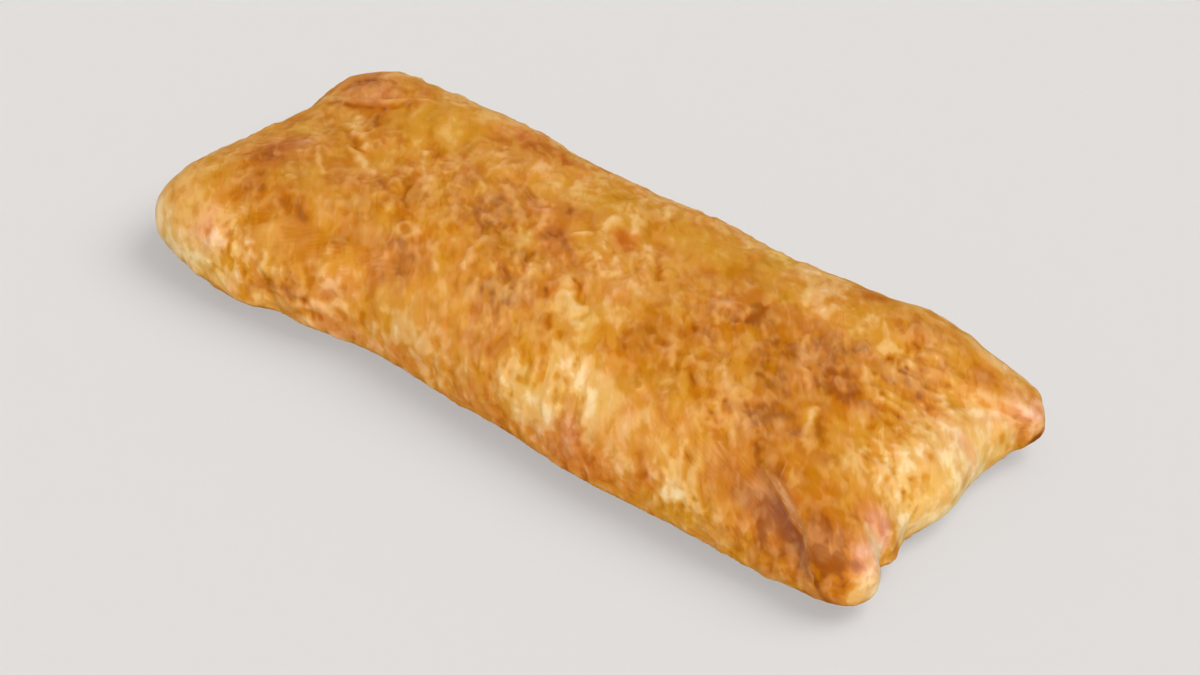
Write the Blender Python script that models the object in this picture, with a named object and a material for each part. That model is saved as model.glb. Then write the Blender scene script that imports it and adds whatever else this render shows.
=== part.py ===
"""Semolina bougatsa: one baked filo parcel, modelled as a single solid.

Metres, +Z up. The parcel lies flat on its underside, long side along X, with
its front long side facing -Y. The origin is at the middle of the footprint,
on the resting surface.
"""

import math

import bmesh
import bpy
import numpy as np

# ---------------------------------------------------------------- main sizes
LENGTH = 0.1935        # between the two ends, before the corners are drawn in
WIDTH = 0.0745         # between the two long sides, before they are drawn in
HEIGHT = 0.0270        # top of the crown
RIM_HEIGHT = 0.0075    # level of the widest line round the parcel
OUTLINE_POWER = 8.0    # squareness of the outline seen from above
TOP_POWER = 2.6        # roundness of the shoulder above the rim
UNDER_POWER = 4.0      # tightness of the curl below the rim
UNDER_REACH = 1.12     # how far the flat underside spreads towards the rim
END_SLOPE = 0.0015     # how much lower the crown is at the two ends

# Where the footprint's middle lies before it is moved to the origin
CENTRE_X = -0.0080
CENTRE_Y = -0.0015

# Each corner: side along X, side along Y, how far it is moved along X and Y,
# lift of its rim above the table, drop of its crown
CORNERS = {
    "back_left": (-1, +1, -0.0055, +0.0010, 0.0000, 0.0035),
    "front_left": (-1, -1, -0.0060, -0.0015, 0.0015, 0.0010),
    "front_right": (+1, -1, -0.0085, -0.0045, 0.0000, 0.0040),
    "back_right": (+1, +1, -0.0105, +0.0005, 0.0025, 0.0040),
}

# How far the middle of each side stands out (+) or is drawn in (-)
FRONT_BOW = -0.0030
BACK_BOW = -0.0035
LEFT_BOW = +0.0005
RIGHT_BOW = -0.0075

# Unevenness of each side: place along it, how far it stands out (+) or is
# drawn in (-), and over what length
FRONT_SWELLS = {
    "belly_beside_left_ear": (-0.067, +0.0022, 0.013),
    "waist": (-0.034, -0.0022, 0.014),
    "belly_right_of_middle": (0.026, +0.0020, 0.020),
    "flat_before_right_ear": (0.080, -0.0005, 0.006),
}
LEFT_SWELLS = {
    "hollow_behind_middle": (0.010, -0.0015, 0.010),
    "bulge_before_middle": (-0.016, +0.0026, 0.011),
}
RIGHT_SWELLS = {
    "root_of_front_ear": (-0.032, +0.0020, 0.012),
    "hollow_beside_front_ear": (-0.012, -0.0020, 0.0055),
    "knuckle": (-0.001, +0.0008, 0.005),
    "hollow_behind_middle": (0.012, -0.0010, 0.008),
}
# The same for the height of the shoulder
BACK_SHOULDER_SWELLS = {
    "sag_left_of_middle": (-0.023, -0.0015, 0.012),
    "sag_right_of_middle": (0.025, -0.0010, 0.018),
    "hump_beside_left_ear": (-0.063, +0.0012, 0.010),
    "hump_beside_right_ear": (0.066, +0.0040, 0.013),
    "fall_to_right_ear": (0.088, -0.0040, 0.008),
}
LEFT_SHOULDER_SWELLS = {"root_of_front_ear": (-0.023, +0.0040, 0.011)}

# Soft waves of the crust between blisters: length along X, length along Y,
# starting angle, height
CRUST_WAVES = (
    (0.047, 0.038, 0.6, 0.00018), (0.031, -0.052, 2.1, 0.00016), (-0.026, 0.029, 4.0, 0.00012),
)
# Single puffs: x, y, radius, height
PUFFS = {
    "front_left_ear": (-0.083, -0.029, 0.010, 0.0006),
    "front_right_ear": (0.088, -0.030, 0.008, 0.0010),
    "back_right_ear": (0.086, 0.030, 0.008, 0.0006),
    "right_end": (0.084, -0.006, 0.012, 0.0008),
    "behind_dart": (0.066, -0.012, 0.012, -0.0005),
}

# Folds of the wrapped sheets. Each is a curve on the crust from its start past
# a bend to its end, in fractions of the half length and the half width. The
# crust sinks on one side of it (depth, width) and stands up as the edge of the
# upper sheet on the other (height, width).
FOLDS = {
    # the front-right ear: dart running from the shoulder down to the corner
    "front_right_dart": dict(
        start=(0.50, -0.54), bend=(0.735, -0.79), end=(0.905, -0.99),
        sink=(0.0026, 0.0080), stand=(0.0009, 0.0034), side=-1,
        swells=(0.10, 0.62), fades=(0.72, 1.05)),
    # the front-left ear: the end sheet tucked under the top sheet
    "front_left_tuck": dict(
        start=(-0.96, -0.32), bend=(-0.78, -0.72), end=(-0.62, -1.0),
        sink=(0.0012, 0.0070), stand=(0.0006, 0.0036), side=-1,
        swells=(0.1, 0.45), fades=(1.0, 1.5)),
    # the back-left ear: rolled edge of the folded corner
    "back_left_roll": dict(
        start=(-0.97, 0.40), bend=(-0.76, 0.525), end=(-0.555, 0.86),
        sink=(0.0014, 0.0055), stand=(0.0006, 0.0034), side=+1,
        swells=(0.05, 0.35), fades=(0.55, 0.85)),
    # the back-right ear: a short crease up from the pinched tip
    "back_right_crease": dict(
        start=(0.78, 0.30), bend=(0.88, 0.45), end=(0.995, 0.64),
        sink=(0.0007, 0.0050), stand=(0.0004, 0.0032), side=-1,
        swells=(0.0, 0.6), fades=(1.0, 1.5)),
}
CLIFF = 0.0026         # half the width of the step from one side to the other
FOLD_STEPS = 10        # straight steps in each fold's curve
GATHER = 0.35          # how strongly the surface's points crowd to a fold
GATHER_REACH = 0.0070  # within this distance of it

# Pinches where an end wall meets an ear: x, y, z, three radii, depth
PINCHES = {
    "front_right": (0.0945, -0.0232, 0.0075, 0.010, 0.0034, 0.0080, 0.0030),
    "back_right": (0.0940, 0.0245, 0.0060, 0.008, 0.0036, 0.0055, 0.0012),
    "front_waist": (-0.0540, -0.0365, 0.0070, 0.0045, 0.0060, 0.0080, 0.0018),
}
# Ears drawn out by a fingertip: x, y, z, radius, how far out along X and Y
EARS = {
    "back_right": (0.0930, 0.0300, 0.0080, 0.0070, 0.0028, -0.0014),
    "front_right": (0.0930, -0.0330, 0.0060, 0.0090, 0.0013, -0.0003),
}

# Cuts of the starting block along its three directions
CUTS_X = 70
CUTS_Y = 30
CUTS_Z = 9

CRUST_COLOUR = (0.62, 0.27, 0.055, 1.0)
CRUST_ROUGHNESS = 0.5


def smooth_step(low, high, value):
    u = np.clip((value - low) / (high - low), 0.0, 1.0)
    return u * u * (3.0 - 2.0 * u)


def bell(value, middle, reach):
    return np.exp(-(((value - middle) / reach) ** 2))


def rounded_block(a, b, c):
    """Points of a 2 x 2 x 2 block drawn in to a pillow: squarish seen from
    above, rounder in section, with a flatter underside."""
    power = np.where(c > 0.0, TOP_POWER, UNDER_POWER)
    plan = (np.abs(a) ** OUTLINE_POWER + np.abs(b) ** OUTLINE_POWER) ** (1.0 / OUTLINE_POWER)
    size = (plan ** power + np.abs(c) ** power) ** (1.0 / power)
    return a / size, b / size, c / size


def parcel_form(a, b, c):
    """The parcel's smooth form. It takes points of the block's surface."""
    s, t, h = rounded_block(a, b, c)
    x0, y0 = s * LENGTH / 2.0, t * WIDTH / 2.0
    x, y = x0.copy(), y0.copy()
    rim = np.full_like(x, RIM_HEIGHT)
    crown = HEIGHT - END_SLOPE * np.abs(s) ** 4
    for along, across, move_x, move_y, lift, drop in CORNERS.values():
        near = (np.clip((1 + along * s) / 2, 0, 1) * np.clip((1 + across * t) / 2, 0, 1)) ** 2
        x += near * move_x
        y += near * move_y
        rim += near ** 1.5 * lift
        crown -= near ** 1.5 * drop
    middle_s, middle_t = np.clip(1 - s * s, 0, 1), np.clip(1 - t * t, 0, 1)
    y += middle_s * np.where(t < 0, t * FRONT_BOW, t * BACK_BOW)
    x += middle_t * np.where(s < 0, s * LEFT_BOW, s * RIGHT_BOW)
    for place, out, reach in FRONT_SWELLS.values():
        y -= np.clip(-t, 0, 1) ** 2 * bell(x0, place, reach) * out
    for place, out, reach in RIGHT_SWELLS.values():
        x += np.clip(s, 0, 1) ** 2 * bell(y0, place, reach) * out
    for place, out, reach in LEFT_SWELLS.values():
        x -= np.clip(-s, 0, 1) ** 2 * bell(y0, place, reach) * out
    upward = smooth_step(0, 0.5, h)
    for place, out, reach in BACK_SHOULDER_SWELLS.values():
        crown += np.clip(t, 0, 1) * bell(x0, place, reach) * out * upward
    for place, out, reach in LEFT_SHOULDER_SWELLS.values():
        crown += np.clip(-s, 0, 1) ** 4 * bell(y0, place, reach) * out * upward
    above = rim + h * (crown - rim)
    below = np.maximum(rim * (1.0 + UNDER_REACH * h), 0.0)
    z = np.where(h > 0, above, below)
    return np.stack([x - CENTRE_X, y - CENTRE_Y, z], axis=1)


def fold_line(fold):
    """A fold's curve on the crust, from the shoulder down to the rim."""
    start, bend, end = (np.array(fold[k]) for k in ("start", "bend", "end"))
    pull = 2.0 * bend - 0.5 * (start + end)
    u = np.linspace(0.0, 1.0, FOLD_STEPS + 1)[:, None]
    s, t = ((1 - u) ** 2 * start + 2 * u * (1 - u) * pull + u * u * end).T
    plan = (np.abs(s) ** OUTLINE_POWER + np.abs(t) ** OUTLINE_POWER) ** (1.0 / OUTLINE_POWER)
    h = np.clip(1.0 - plan ** TOP_POWER, 1e-6, 1.0) ** (1.0 / TOP_POWER)
    return parcel_form(s, t, h)


def distance_to_line(points, line):
    """For each point: the step to the nearest place on the line, the signed
    distance (+ on the line's left, seen from above) and how far along the
    line that place is, from 0 to 1."""
    best = np.full(len(points), 1e9)
    step = np.zeros_like(points)
    signed, along = np.zeros(len(points)), np.zeros(len(points))
    for k in range(len(line) - 1):
        start, run = line[k], line[k + 1] - line[k]
        u = np.clip((points - start) @ run / (run @ run), 0, 1)
        offset = start + u[:, None] * run - points
        d = np.linalg.norm(offset, axis=1)
        nearer = d < best
        best = np.where(nearer, d, best)
        step = np.where(nearer[:, None], offset, step)
        left = np.sign(run[1] * offset[:, 0] - run[0] * offset[:, 1])
        signed = np.where(nearer, d * left, signed)
        along = np.where(nearer, (k + u) / (len(line) - 1), along)
    return step, signed, along


def fold_relief(fold, signed, along):
    """Height of the crust beside a fold's line, and how strong the fold is."""
    depth, wide = fold["sink"]
    height, narrow = fold["stand"]
    strength = smooth_step(*fold["swells"], along) * (1.0 - smooth_step(*fold["fades"], along))
    across = signed * fold["side"]
    sink = smooth_step(-CLIFF, 0.5 * CLIFF, across) * np.exp(-(np.maximum(across, 0.0) / wide) ** 2)
    stand = bell(across, -narrow, 0.8 * narrow)
    return strength * (height * stand - depth * sink), strength


def crust_relief(points, lines):
    """Height of the waves, puffs, folds and pinches, along the surface's
    normal."""
    x, y, z = points.T
    upper = smooth_step(0.0035, 0.0095, z)
    relief = np.zeros(len(x))
    for length_x, length_y, angle, height in CRUST_WAVES:
        wave = np.sin(2 * math.pi * (x / length_x + y / length_y) + angle)
        relief += height * wave * upper
    for px, py, radius, height in PUFFS.values():
        relief += height * np.exp(-((x - px) ** 2 + (y - py) ** 2) / radius ** 2) * upper
    for name, fold in FOLDS.items():
        _, signed, along = distance_to_line(points, lines[name])
        relief += fold_relief(fold, signed, along)[0] * upper
    for px, py, pz, rx, ry, rz, depth in PINCHES.values():
        relief -= depth * np.exp(
            -((x - px) / rx) ** 2 - ((y - py) / ry) ** 2 - ((z - pz) / rz) ** 2)
    return relief


def gathered(points, normals, lines):
    """The points moved along the crust towards the fold lines, so that the
    surface is finest where a fold turns."""
    moved = points.copy()
    upper = smooth_step(0.003, 0.008, points[:, 2])
    for name, fold in FOLDS.items():
        step, signed, along = distance_to_line(points, lines[name])
        step -= normals * np.sum(step * normals, axis=1)[:, None]
        strength = fold_relief(fold, signed, along)[1]
        pull = GATHER * np.exp(-(signed / GATHER_REACH) ** 2) * upper * np.sqrt(strength)
        moved += step * pull[:, None]
    return moved


def drawn_out(points):
    """The ears pulled out by the fingers that closed the parcel."""
    x, y, z = points.T.copy()
    for px, py, pz, radius, out_x, out_y in EARS.values():
        near = np.exp(-((x - px) ** 2 + (y - py) ** 2 + (0.6 * (z - pz)) ** 2) / radius ** 2)
        x, y = x + near * out_x, y + near * out_y
    return np.stack([x, y, z], axis=1)


def shaped_parcel(form, normals):
    """The smooth form with its relief, drawn-out ears and flat underside,
    moved so that the footprint's middle is at the origin."""
    lines = {name: fold_line(fold) for name, fold in FOLDS.items()}
    laid = gathered(form, normals, lines)
    shaped = drawn_out(laid + normals * crust_relief(laid, lines)[:, None])
    shaped[form[:, 2] <= 1e-9, 2] = 0.0
    shaped[:, 2] = np.maximum(shaped[:, 2], 0.0)
    shaped[:, :2] -= (shaped[:, :2].min(axis=0) + shaped[:, :2].max(axis=0)) / 2.0
    return shaped


def spaced_cuts(count):
    """Places of the cuts between -1 and 1, a little closer near both ends."""
    even = np.linspace(-1.0, 1.0, count + 1)[1:-1]
    return 0.78 * even + 0.22 * np.sin(even * math.pi / 2.0)


def clear_scene():
    for old in list(bpy.data.objects):
        bpy.data.objects.remove(old, do_unlink=True)


def crust_material():
    material = bpy.data.materials.new("baked_filo")
    material.use_nodes = True
    shader = next(n for n in material.node_tree.nodes if n.type == "BSDF_PRINCIPLED")
    shader.inputs["Base Color"].default_value = CRUST_COLOUR
    shader.inputs["Roughness"].default_value = CRUST_ROUGHNESS
    shader.inputs["Metallic"].default_value = 0.0
    return material


def make_parcel():
    bm = bmesh.new()
    bmesh.ops.create_cube(bm, size=2.0)
    for axis, count in ((0, CUTS_X), (1, CUTS_Y), (2, CUTS_Z)):
        normal = [0.0, 0.0, 0.0]
        normal[axis] = 1.0
        for place in spaced_cuts(count):
            point = [0.0, 0.0, 0.0]
            point[axis] = float(place)
            everything = bm.verts[:] + bm.edges[:] + bm.faces[:]
            bmesh.ops.bisect_plane(bm, geom=everything, dist=1e-6, plane_co=point, plane_no=normal)
    block = np.array([v.co for v in bm.verts], float)
    form = parcel_form(*block.T)
    for vert, place in zip(bm.verts, form):
        vert.co = place
    bm.normal_update()
    normals = np.array([v.normal for v in bm.verts], float)
    for vert, place in zip(bm.verts, shaped_parcel(form, normals)):
        vert.co = place
    bmesh.ops.recalc_face_normals(bm, faces=bm.faces[:])
    bmesh.ops.triangulate(bm, faces=bm.faces[:])
    mesh = bpy.data.meshes.new("bougatsa_parcel")
    bm.to_mesh(mesh)
    bm.free()
    mesh.shade_smooth()
    parcel = bpy.data.objects.new("bougatsa_parcel", mesh)
    mesh.materials.append(crust_material())
    return parcel


def main():
    clear_scene()
    food = bpy.data.collections.new("semolina_bougatsa")
    bpy.context.scene.collection.children.link(food)
    food.objects.link(make_parcel())


if __name__ == "__main__":
    main()
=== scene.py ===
"""Semolina bougatsa: the finished crust of the baked filo parcel, its floor,
light and camera. Metres, +Z up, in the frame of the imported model."""
import math

import bpy
import numpy as np
from mathutils import Matrix, Vector


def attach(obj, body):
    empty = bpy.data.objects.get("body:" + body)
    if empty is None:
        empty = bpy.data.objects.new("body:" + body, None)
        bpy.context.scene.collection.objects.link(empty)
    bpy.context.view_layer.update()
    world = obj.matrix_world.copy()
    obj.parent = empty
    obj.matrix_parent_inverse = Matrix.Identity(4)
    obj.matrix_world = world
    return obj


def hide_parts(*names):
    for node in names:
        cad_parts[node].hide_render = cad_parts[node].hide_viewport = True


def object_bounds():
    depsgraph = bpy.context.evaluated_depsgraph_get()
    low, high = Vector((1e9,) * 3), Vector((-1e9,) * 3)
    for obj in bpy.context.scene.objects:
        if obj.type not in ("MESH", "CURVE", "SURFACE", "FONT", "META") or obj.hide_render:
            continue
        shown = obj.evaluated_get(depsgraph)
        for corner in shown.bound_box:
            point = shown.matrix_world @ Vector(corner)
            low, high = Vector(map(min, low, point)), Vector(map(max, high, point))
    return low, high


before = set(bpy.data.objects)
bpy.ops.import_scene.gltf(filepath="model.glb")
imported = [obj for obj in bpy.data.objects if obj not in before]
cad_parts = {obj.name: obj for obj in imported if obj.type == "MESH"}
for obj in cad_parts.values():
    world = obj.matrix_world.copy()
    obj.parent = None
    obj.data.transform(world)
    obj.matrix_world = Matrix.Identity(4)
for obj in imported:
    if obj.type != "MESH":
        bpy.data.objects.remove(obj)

CAD_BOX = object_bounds()

# ------------------------------------------------------------ the solid's form
# The same sizes and functions as the solid's, on a finer grid.
LENGTH = 0.1935
WIDTH = 0.0745
HEIGHT = 0.0270
RIM_HEIGHT = 0.0075
OUTLINE_POWER = 8.0
TOP_POWER = 2.6
UNDER_POWER = 4.0
UNDER_REACH = 1.12
END_SLOPE = 0.0015
CENTRE_X = -0.0080
CENTRE_Y = -0.0015
CORNERS = {
    "back_left": (-1, +1, -0.0055, +0.0010, 0.0000, 0.0035),
    "front_left": (-1, -1, -0.0060, -0.0015, 0.0015, 0.0010),
    "front_right": (+1, -1, -0.0085, -0.0045, 0.0000, 0.0040),
    "back_right": (+1, +1, -0.0105, +0.0005, 0.0025, 0.0040),
}
FRONT_BOW = -0.0030
BACK_BOW = -0.0035
LEFT_BOW = +0.0005
RIGHT_BOW = -0.0075
FRONT_SWELLS = {
    "belly_beside_left_ear": (-0.067, +0.0022, 0.013),
    "waist": (-0.034, -0.0022, 0.014),
    "belly_right_of_middle": (0.026, +0.0020, 0.020),
    "flat_before_right_ear": (0.080, -0.0005, 0.006),
}
LEFT_SWELLS = {
    "hollow_behind_middle": (0.010, -0.0015, 0.010),
    "bulge_before_middle": (-0.016, +0.0026, 0.011),
}
RIGHT_SWELLS = {
    "root_of_front_ear": (-0.032, +0.0020, 0.012),
    "hollow_beside_front_ear": (-0.012, -0.0020, 0.0055),
    "knuckle": (-0.001, +0.0008, 0.005),
    "hollow_behind_middle": (0.012, -0.0010, 0.008),
}
BACK_SHOULDER_SWELLS = {
    "sag_left_of_middle": (-0.023, -0.0015, 0.012),
    "sag_right_of_middle": (0.025, -0.0010, 0.018),
    "hump_beside_left_ear": (-0.063, +0.0012, 0.010),
    "hump_beside_right_ear": (0.066, +0.0040, 0.013),
    "fall_to_right_ear": (0.088, -0.0040, 0.008),
}
LEFT_SHOULDER_SWELLS = {"root_of_front_ear": (-0.023, +0.0040, 0.011)}
CRUST_WAVES = (
    (0.047, 0.038, 0.6, 0.00018), (0.031, -0.052, 2.1, 0.00016), (-0.026, 0.029, 4.0, 0.00012),
)
PUFFS = {
    "front_left_ear": (-0.083, -0.029, 0.010, 0.0006),
    "front_right_ear": (0.088, -0.030, 0.008, 0.0010),
    "back_right_ear": (0.086, 0.030, 0.008, 0.0006),
    "right_end": (0.084, -0.006, 0.012, 0.0008),
    "behind_dart": (0.066, -0.012, 0.012, -0.0005),
}
FOLDS = {
    "front_right_dart": dict(
        start=(0.50, -0.54), bend=(0.735, -0.79), end=(0.905, -0.99),
        sink=(0.0024, 0.0080), stand=(0.0007, 0.0030), side=-1,
        swells=(0.10, 0.62), fades=(0.72, 1.05), cliff=0.0015),
    "front_left_tuck": dict(
        start=(-0.96, -0.32), bend=(-0.78, -0.72), end=(-0.62, -1.0),
        sink=(0.0006, 0.0080), stand=(0.0004, 0.0040), side=-1,
        swells=(0.1, 0.45), fades=(1.0, 1.5), cliff=0.0080),
    "back_left_roll": dict(
        start=(-0.97, 0.40), bend=(-0.76, 0.525), end=(-0.555, 0.86),
        sink=(0.0014, 0.0055), stand=(0.0006, 0.0034), side=+1,
        swells=(0.05, 0.35), fades=(0.55, 0.85), cliff=0.0016),
    "back_right_crease": dict(
        start=(0.78, 0.30), bend=(0.88, 0.45), end=(0.995, 0.64),
        sink=(0.0007, 0.0050), stand=(0.0004, 0.0032), side=-1,
        swells=(0.0, 0.6), fades=(1.0, 1.5), cliff=0.0022),
}
FOLD_STEPS = 10
GATHER = 0.22
GATHER_REACH = 0.0050
PINCHES = {
    "front_right": (0.0945, -0.0232, 0.0075, 0.010, 0.0034, 0.0080, 0.0030),
    "back_right": (0.0940, 0.0245, 0.0060, 0.008, 0.0036, 0.0055, 0.0012),
    "front_waist": (-0.0540, -0.0365, 0.0070, 0.0045, 0.0060, 0.0080, 0.0018),
}
EARS = {
    "back_right": (0.0930, 0.0300, 0.0080, 0.0070, 0.0028, -0.0014),
    "front_right": (0.0930, -0.0330, 0.0060, 0.0090, 0.0013, -0.0003),
}

# Cells of the crust's grid along the parcel, across it and up its walls, and
# how many of them one cell of the underside spans
CELLS_X, CELLS_Y, CELLS_Z = 340, 136, 44
UNDER_SPAN = 4


def smooth_step(low, high, value):
    u = np.clip((value - low) / (high - low), 0.0, 1.0)
    return u * u * (3.0 - 2.0 * u)


def bell(value, middle, reach):
    return np.exp(-(((value - middle) / reach) ** 2))


def rounded_block(a, b, c):
    power = np.where(c > 0.0, TOP_POWER, UNDER_POWER)
    plan = (np.abs(a) ** OUTLINE_POWER + np.abs(b) ** OUTLINE_POWER) ** (1.0 / OUTLINE_POWER)
    size = (plan ** power + np.abs(c) ** power) ** (1.0 / power)
    return a / size, b / size, c / size


def parcel_form(a, b, c):
    s, t, h = rounded_block(a, b, c)
    x0, y0 = s * LENGTH / 2.0, t * WIDTH / 2.0
    x, y = x0.copy(), y0.copy()
    rim = np.full_like(x, RIM_HEIGHT)
    crown = HEIGHT - END_SLOPE * np.abs(s) ** 4
    for along, across, move_x, move_y, lift, drop in CORNERS.values():
        near = (np.clip((1 + along * s) / 2, 0, 1) * np.clip((1 + across * t) / 2, 0, 1)) ** 2
        x += near * move_x
        y += near * move_y
        rim += near ** 1.5 * lift
        crown -= near ** 1.5 * drop
    middle_s, middle_t = np.clip(1 - s * s, 0, 1), np.clip(1 - t * t, 0, 1)
    y += middle_s * np.where(t < 0, t * FRONT_BOW, t * BACK_BOW)
    x += middle_t * np.where(s < 0, s * LEFT_BOW, s * RIGHT_BOW)
    for place, out, reach in FRONT_SWELLS.values():
        y -= np.clip(-t, 0, 1) ** 2 * bell(x0, place, reach) * out
    for place, out, reach in RIGHT_SWELLS.values():
        x += np.clip(s, 0, 1) ** 2 * bell(y0, place, reach) * out
    for place, out, reach in LEFT_SWELLS.values():
        x -= np.clip(-s, 0, 1) ** 2 * bell(y0, place, reach) * out
    upward = smooth_step(0, 0.5, h)
    for place, out, reach in BACK_SHOULDER_SWELLS.values():
        crown += np.clip(t, 0, 1) * bell(x0, place, reach) * out * upward
    for place, out, reach in LEFT_SHOULDER_SWELLS.values():
        crown += np.clip(-s, 0, 1) ** 4 * bell(y0, place, reach) * out * upward
    above = rim + h * (crown - rim)
    below = np.maximum(rim * (1.0 + UNDER_REACH * h), 0.0)
    z = np.where(h > 0, above, below)
    return np.stack([x - CENTRE_X, y - CENTRE_Y, z], axis=1)


def fold_line(fold):
    start, bend, end = (np.array(fold[k]) for k in ("start", "bend", "end"))
    pull = 2.0 * bend - 0.5 * (start + end)
    u = np.linspace(0.0, 1.0, FOLD_STEPS + 1)[:, None]
    s, t = ((1 - u) ** 2 * start + 2 * u * (1 - u) * pull + u * u * end).T
    plan = (np.abs(s) ** OUTLINE_POWER + np.abs(t) ** OUTLINE_POWER) ** (1.0 / OUTLINE_POWER)
    h = np.clip(1.0 - plan ** TOP_POWER, 1e-6, 1.0) ** (1.0 / TOP_POWER)
    return parcel_form(s, t, h)


def distance_to_line(points, line):
    best = np.full(len(points), 1e9)
    step = np.zeros_like(points)
    signed, along = np.zeros(len(points)), np.zeros(len(points))
    for k in range(len(line) - 1):
        start, run = line[k], line[k + 1] - line[k]
        u = np.clip((points - start) @ run / (run @ run), 0, 1)
        offset = start + u[:, None] * run - points
        d = np.linalg.norm(offset, axis=1)
        nearer = d < best
        best = np.where(nearer, d, best)
        step = np.where(nearer[:, None], offset, step)
        left = np.sign(run[1] * offset[:, 0] - run[0] * offset[:, 1])
        signed = np.where(nearer, d * left, signed)
        along = np.where(nearer, (k + u) / (len(line) - 1), along)
    return step, signed, along


def fold_strength(fold, along):
    return smooth_step(*fold["swells"], along) * (1.0 - smooth_step(*fold["fades"], along))


def fold_relief(fold, signed, along):
    depth, wide = fold["sink"]
    height, narrow = fold["stand"]
    cliff = fold["cliff"]
    strength = fold_strength(fold, along)
    across = signed * fold["side"]
    sink = smooth_step(-cliff, 0.5 * cliff, across) * np.exp(-(np.maximum(across, 0.0) / wide) ** 2)
    stand = bell(across, -narrow * 0.8, 0.7 * narrow)
    return strength * (height * stand - depth * sink), strength


def solid_relief(points, lines):
    x, y, z = points.T
    upper = smooth_step(0.0035, 0.0095, z)
    relief = np.zeros(len(x))
    for length_x, length_y, angle, height in CRUST_WAVES:
        wave = np.sin(2 * math.pi * (x / length_x + y / length_y) + angle)
        relief += height * wave * upper
    for px, py, radius, height in PUFFS.values():
        relief += height * np.exp(-((x - px) ** 2 + (y - py) ** 2) / radius ** 2) * upper
    for name, fold in FOLDS.items():
        _, signed, along = distance_to_line(points, lines[name])
        relief += fold_relief(fold, signed, along)[0] * upper
    for px, py, pz, rx, ry, rz, depth in PINCHES.values():
        relief -= depth * np.exp(
            -((x - px) / rx) ** 2 - ((y - py) / ry) ** 2 - ((z - pz) / rz) ** 2)
    return relief


def gathered(points, normals, lines):
    moved = points.copy()
    upper = smooth_step(0.003, 0.008, points[:, 2])
    for name, fold in FOLDS.items():
        step, signed, along = distance_to_line(points, lines[name])
        step -= normals * np.sum(step * normals, axis=1)[:, None]
        strength = fold_relief(fold, signed, along)[1]
        pull = GATHER * np.exp(-(signed / GATHER_REACH) ** 2) * upper * np.sqrt(strength)
        moved += step * pull[:, None]
    return moved


def drawn_out(points):
    x, y, z = points.T.copy()
    for px, py, pz, radius, out_x, out_y in EARS.values():
        near = np.exp(-((x - px) ** 2 + (y - py) ** 2 + (0.6 * (z - pz)) ** 2) / radius ** 2)
        x, y = x + near * out_x, y + near * out_y
    return np.stack([x, y, z], axis=1)


# ------------------------------------------------------------- the crust's grid
def even_places(count, power):
    """Places from 0 to 1 on the block that come out evenly on the parcel."""
    edge = 2.0 ** (-1.0 / power)
    u = np.linspace(0.0, edge, count + 1)
    return u / (1.0 - u ** power) ** (1.0 / power)


def both_ways(count):
    half = even_places(count // 2, TOP_POWER)
    return np.concatenate([-half[:0:-1], half])


def crust_grid():
    """The block's surface as points and faces. The underside has larger cells.
    Each face comes with the number of the side that it lies on."""
    a, b = both_ways(CELLS_X), both_ways(CELLS_Y)
    low = CELLS_Z // 3
    c = np.concatenate([-even_places(low, UNDER_POWER)[:0:-1], even_places(CELLS_Z - low, TOP_POWER)])
    nx, ny, nz = CELLS_X, CELLS_Y, CELLS_Z
    i, j, k = np.meshgrid(np.arange(nx + 1), np.arange(ny + 1), np.arange(nz + 1), indexing="ij")
    rim = (i == 0) | (i == nx) | (j == 0) | (j == ny)
    under = (k == 0) & (i % UNDER_SPAN == 0) & (j % UNDER_SPAN == 0)
    kept = rim | (k == nz) | under
    number = np.full(kept.shape, -1)
    number[kept] = np.arange(kept.sum())
    lattice = np.stack([i[kept], j[kept], k[kept]], axis=1)
    points = np.stack([a[lattice[:, 0]], b[lattice[:, 1]], c[lattice[:, 2]]], axis=1)

    def cells(sheet, turned):
        corners = [sheet[1:, :-1], sheet[1:, 1:], sheet[:-1, 1:], sheet[:-1, :-1]]
        quads = np.stack([q.ravel() for q in corners], axis=1)
        return quads[:, ::-1] if turned else quads

    sides = [
        cells(number[:, :, nz], False),
        cells(number[:, 0, :], False), cells(number[:, ny, :], True),
        cells(number[0, :, :], True), cells(number[nx, :, :], False),
    ]
    bottom = []
    for p in range(0, nx, UNDER_SPAN):
        for q in range(0, ny, UNDER_SPAN):
            along = range(0, UNDER_SPAN)
            ring = []
            ring += [number[p, q + m, 0] for m in along] if p == 0 else [number[p, q, 0]]
            ring += ([number[p + m, q + UNDER_SPAN, 0] for m in along]
                     if q + UNDER_SPAN == ny else [number[p, q + UNDER_SPAN, 0]])
            ring += ([number[p + UNDER_SPAN, q + UNDER_SPAN - m, 0] for m in along]
                     if p + UNDER_SPAN == nx else [number[p + UNDER_SPAN, q + UNDER_SPAN, 0]])
            ring += ([number[p + UNDER_SPAN - m, q, 0] for m in along]
                     if q == 0 else [number[p + UNDER_SPAN, q, 0]])
            bottom.append([int(v) for v in ring])
    return points, lattice, sides, bottom


def vertex_normals(points, sides, bottom):
    normals = np.zeros_like(points)
    quads = np.concatenate(sides + [np.array([[f[0], f[len(f) // 3], f[len(f) // 2], f[-1]] for f in bottom])])
    across = np.cross(points[quads[:, 2]] - points[quads[:, 0]], points[quads[:, 3]] - points[quads[:, 1]])
    for corner in range(4):
        np.add.at(normals, quads[:, corner], across)
    return normals / (np.linalg.norm(normals, axis=1)[:, None] + 1e-15)


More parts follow.
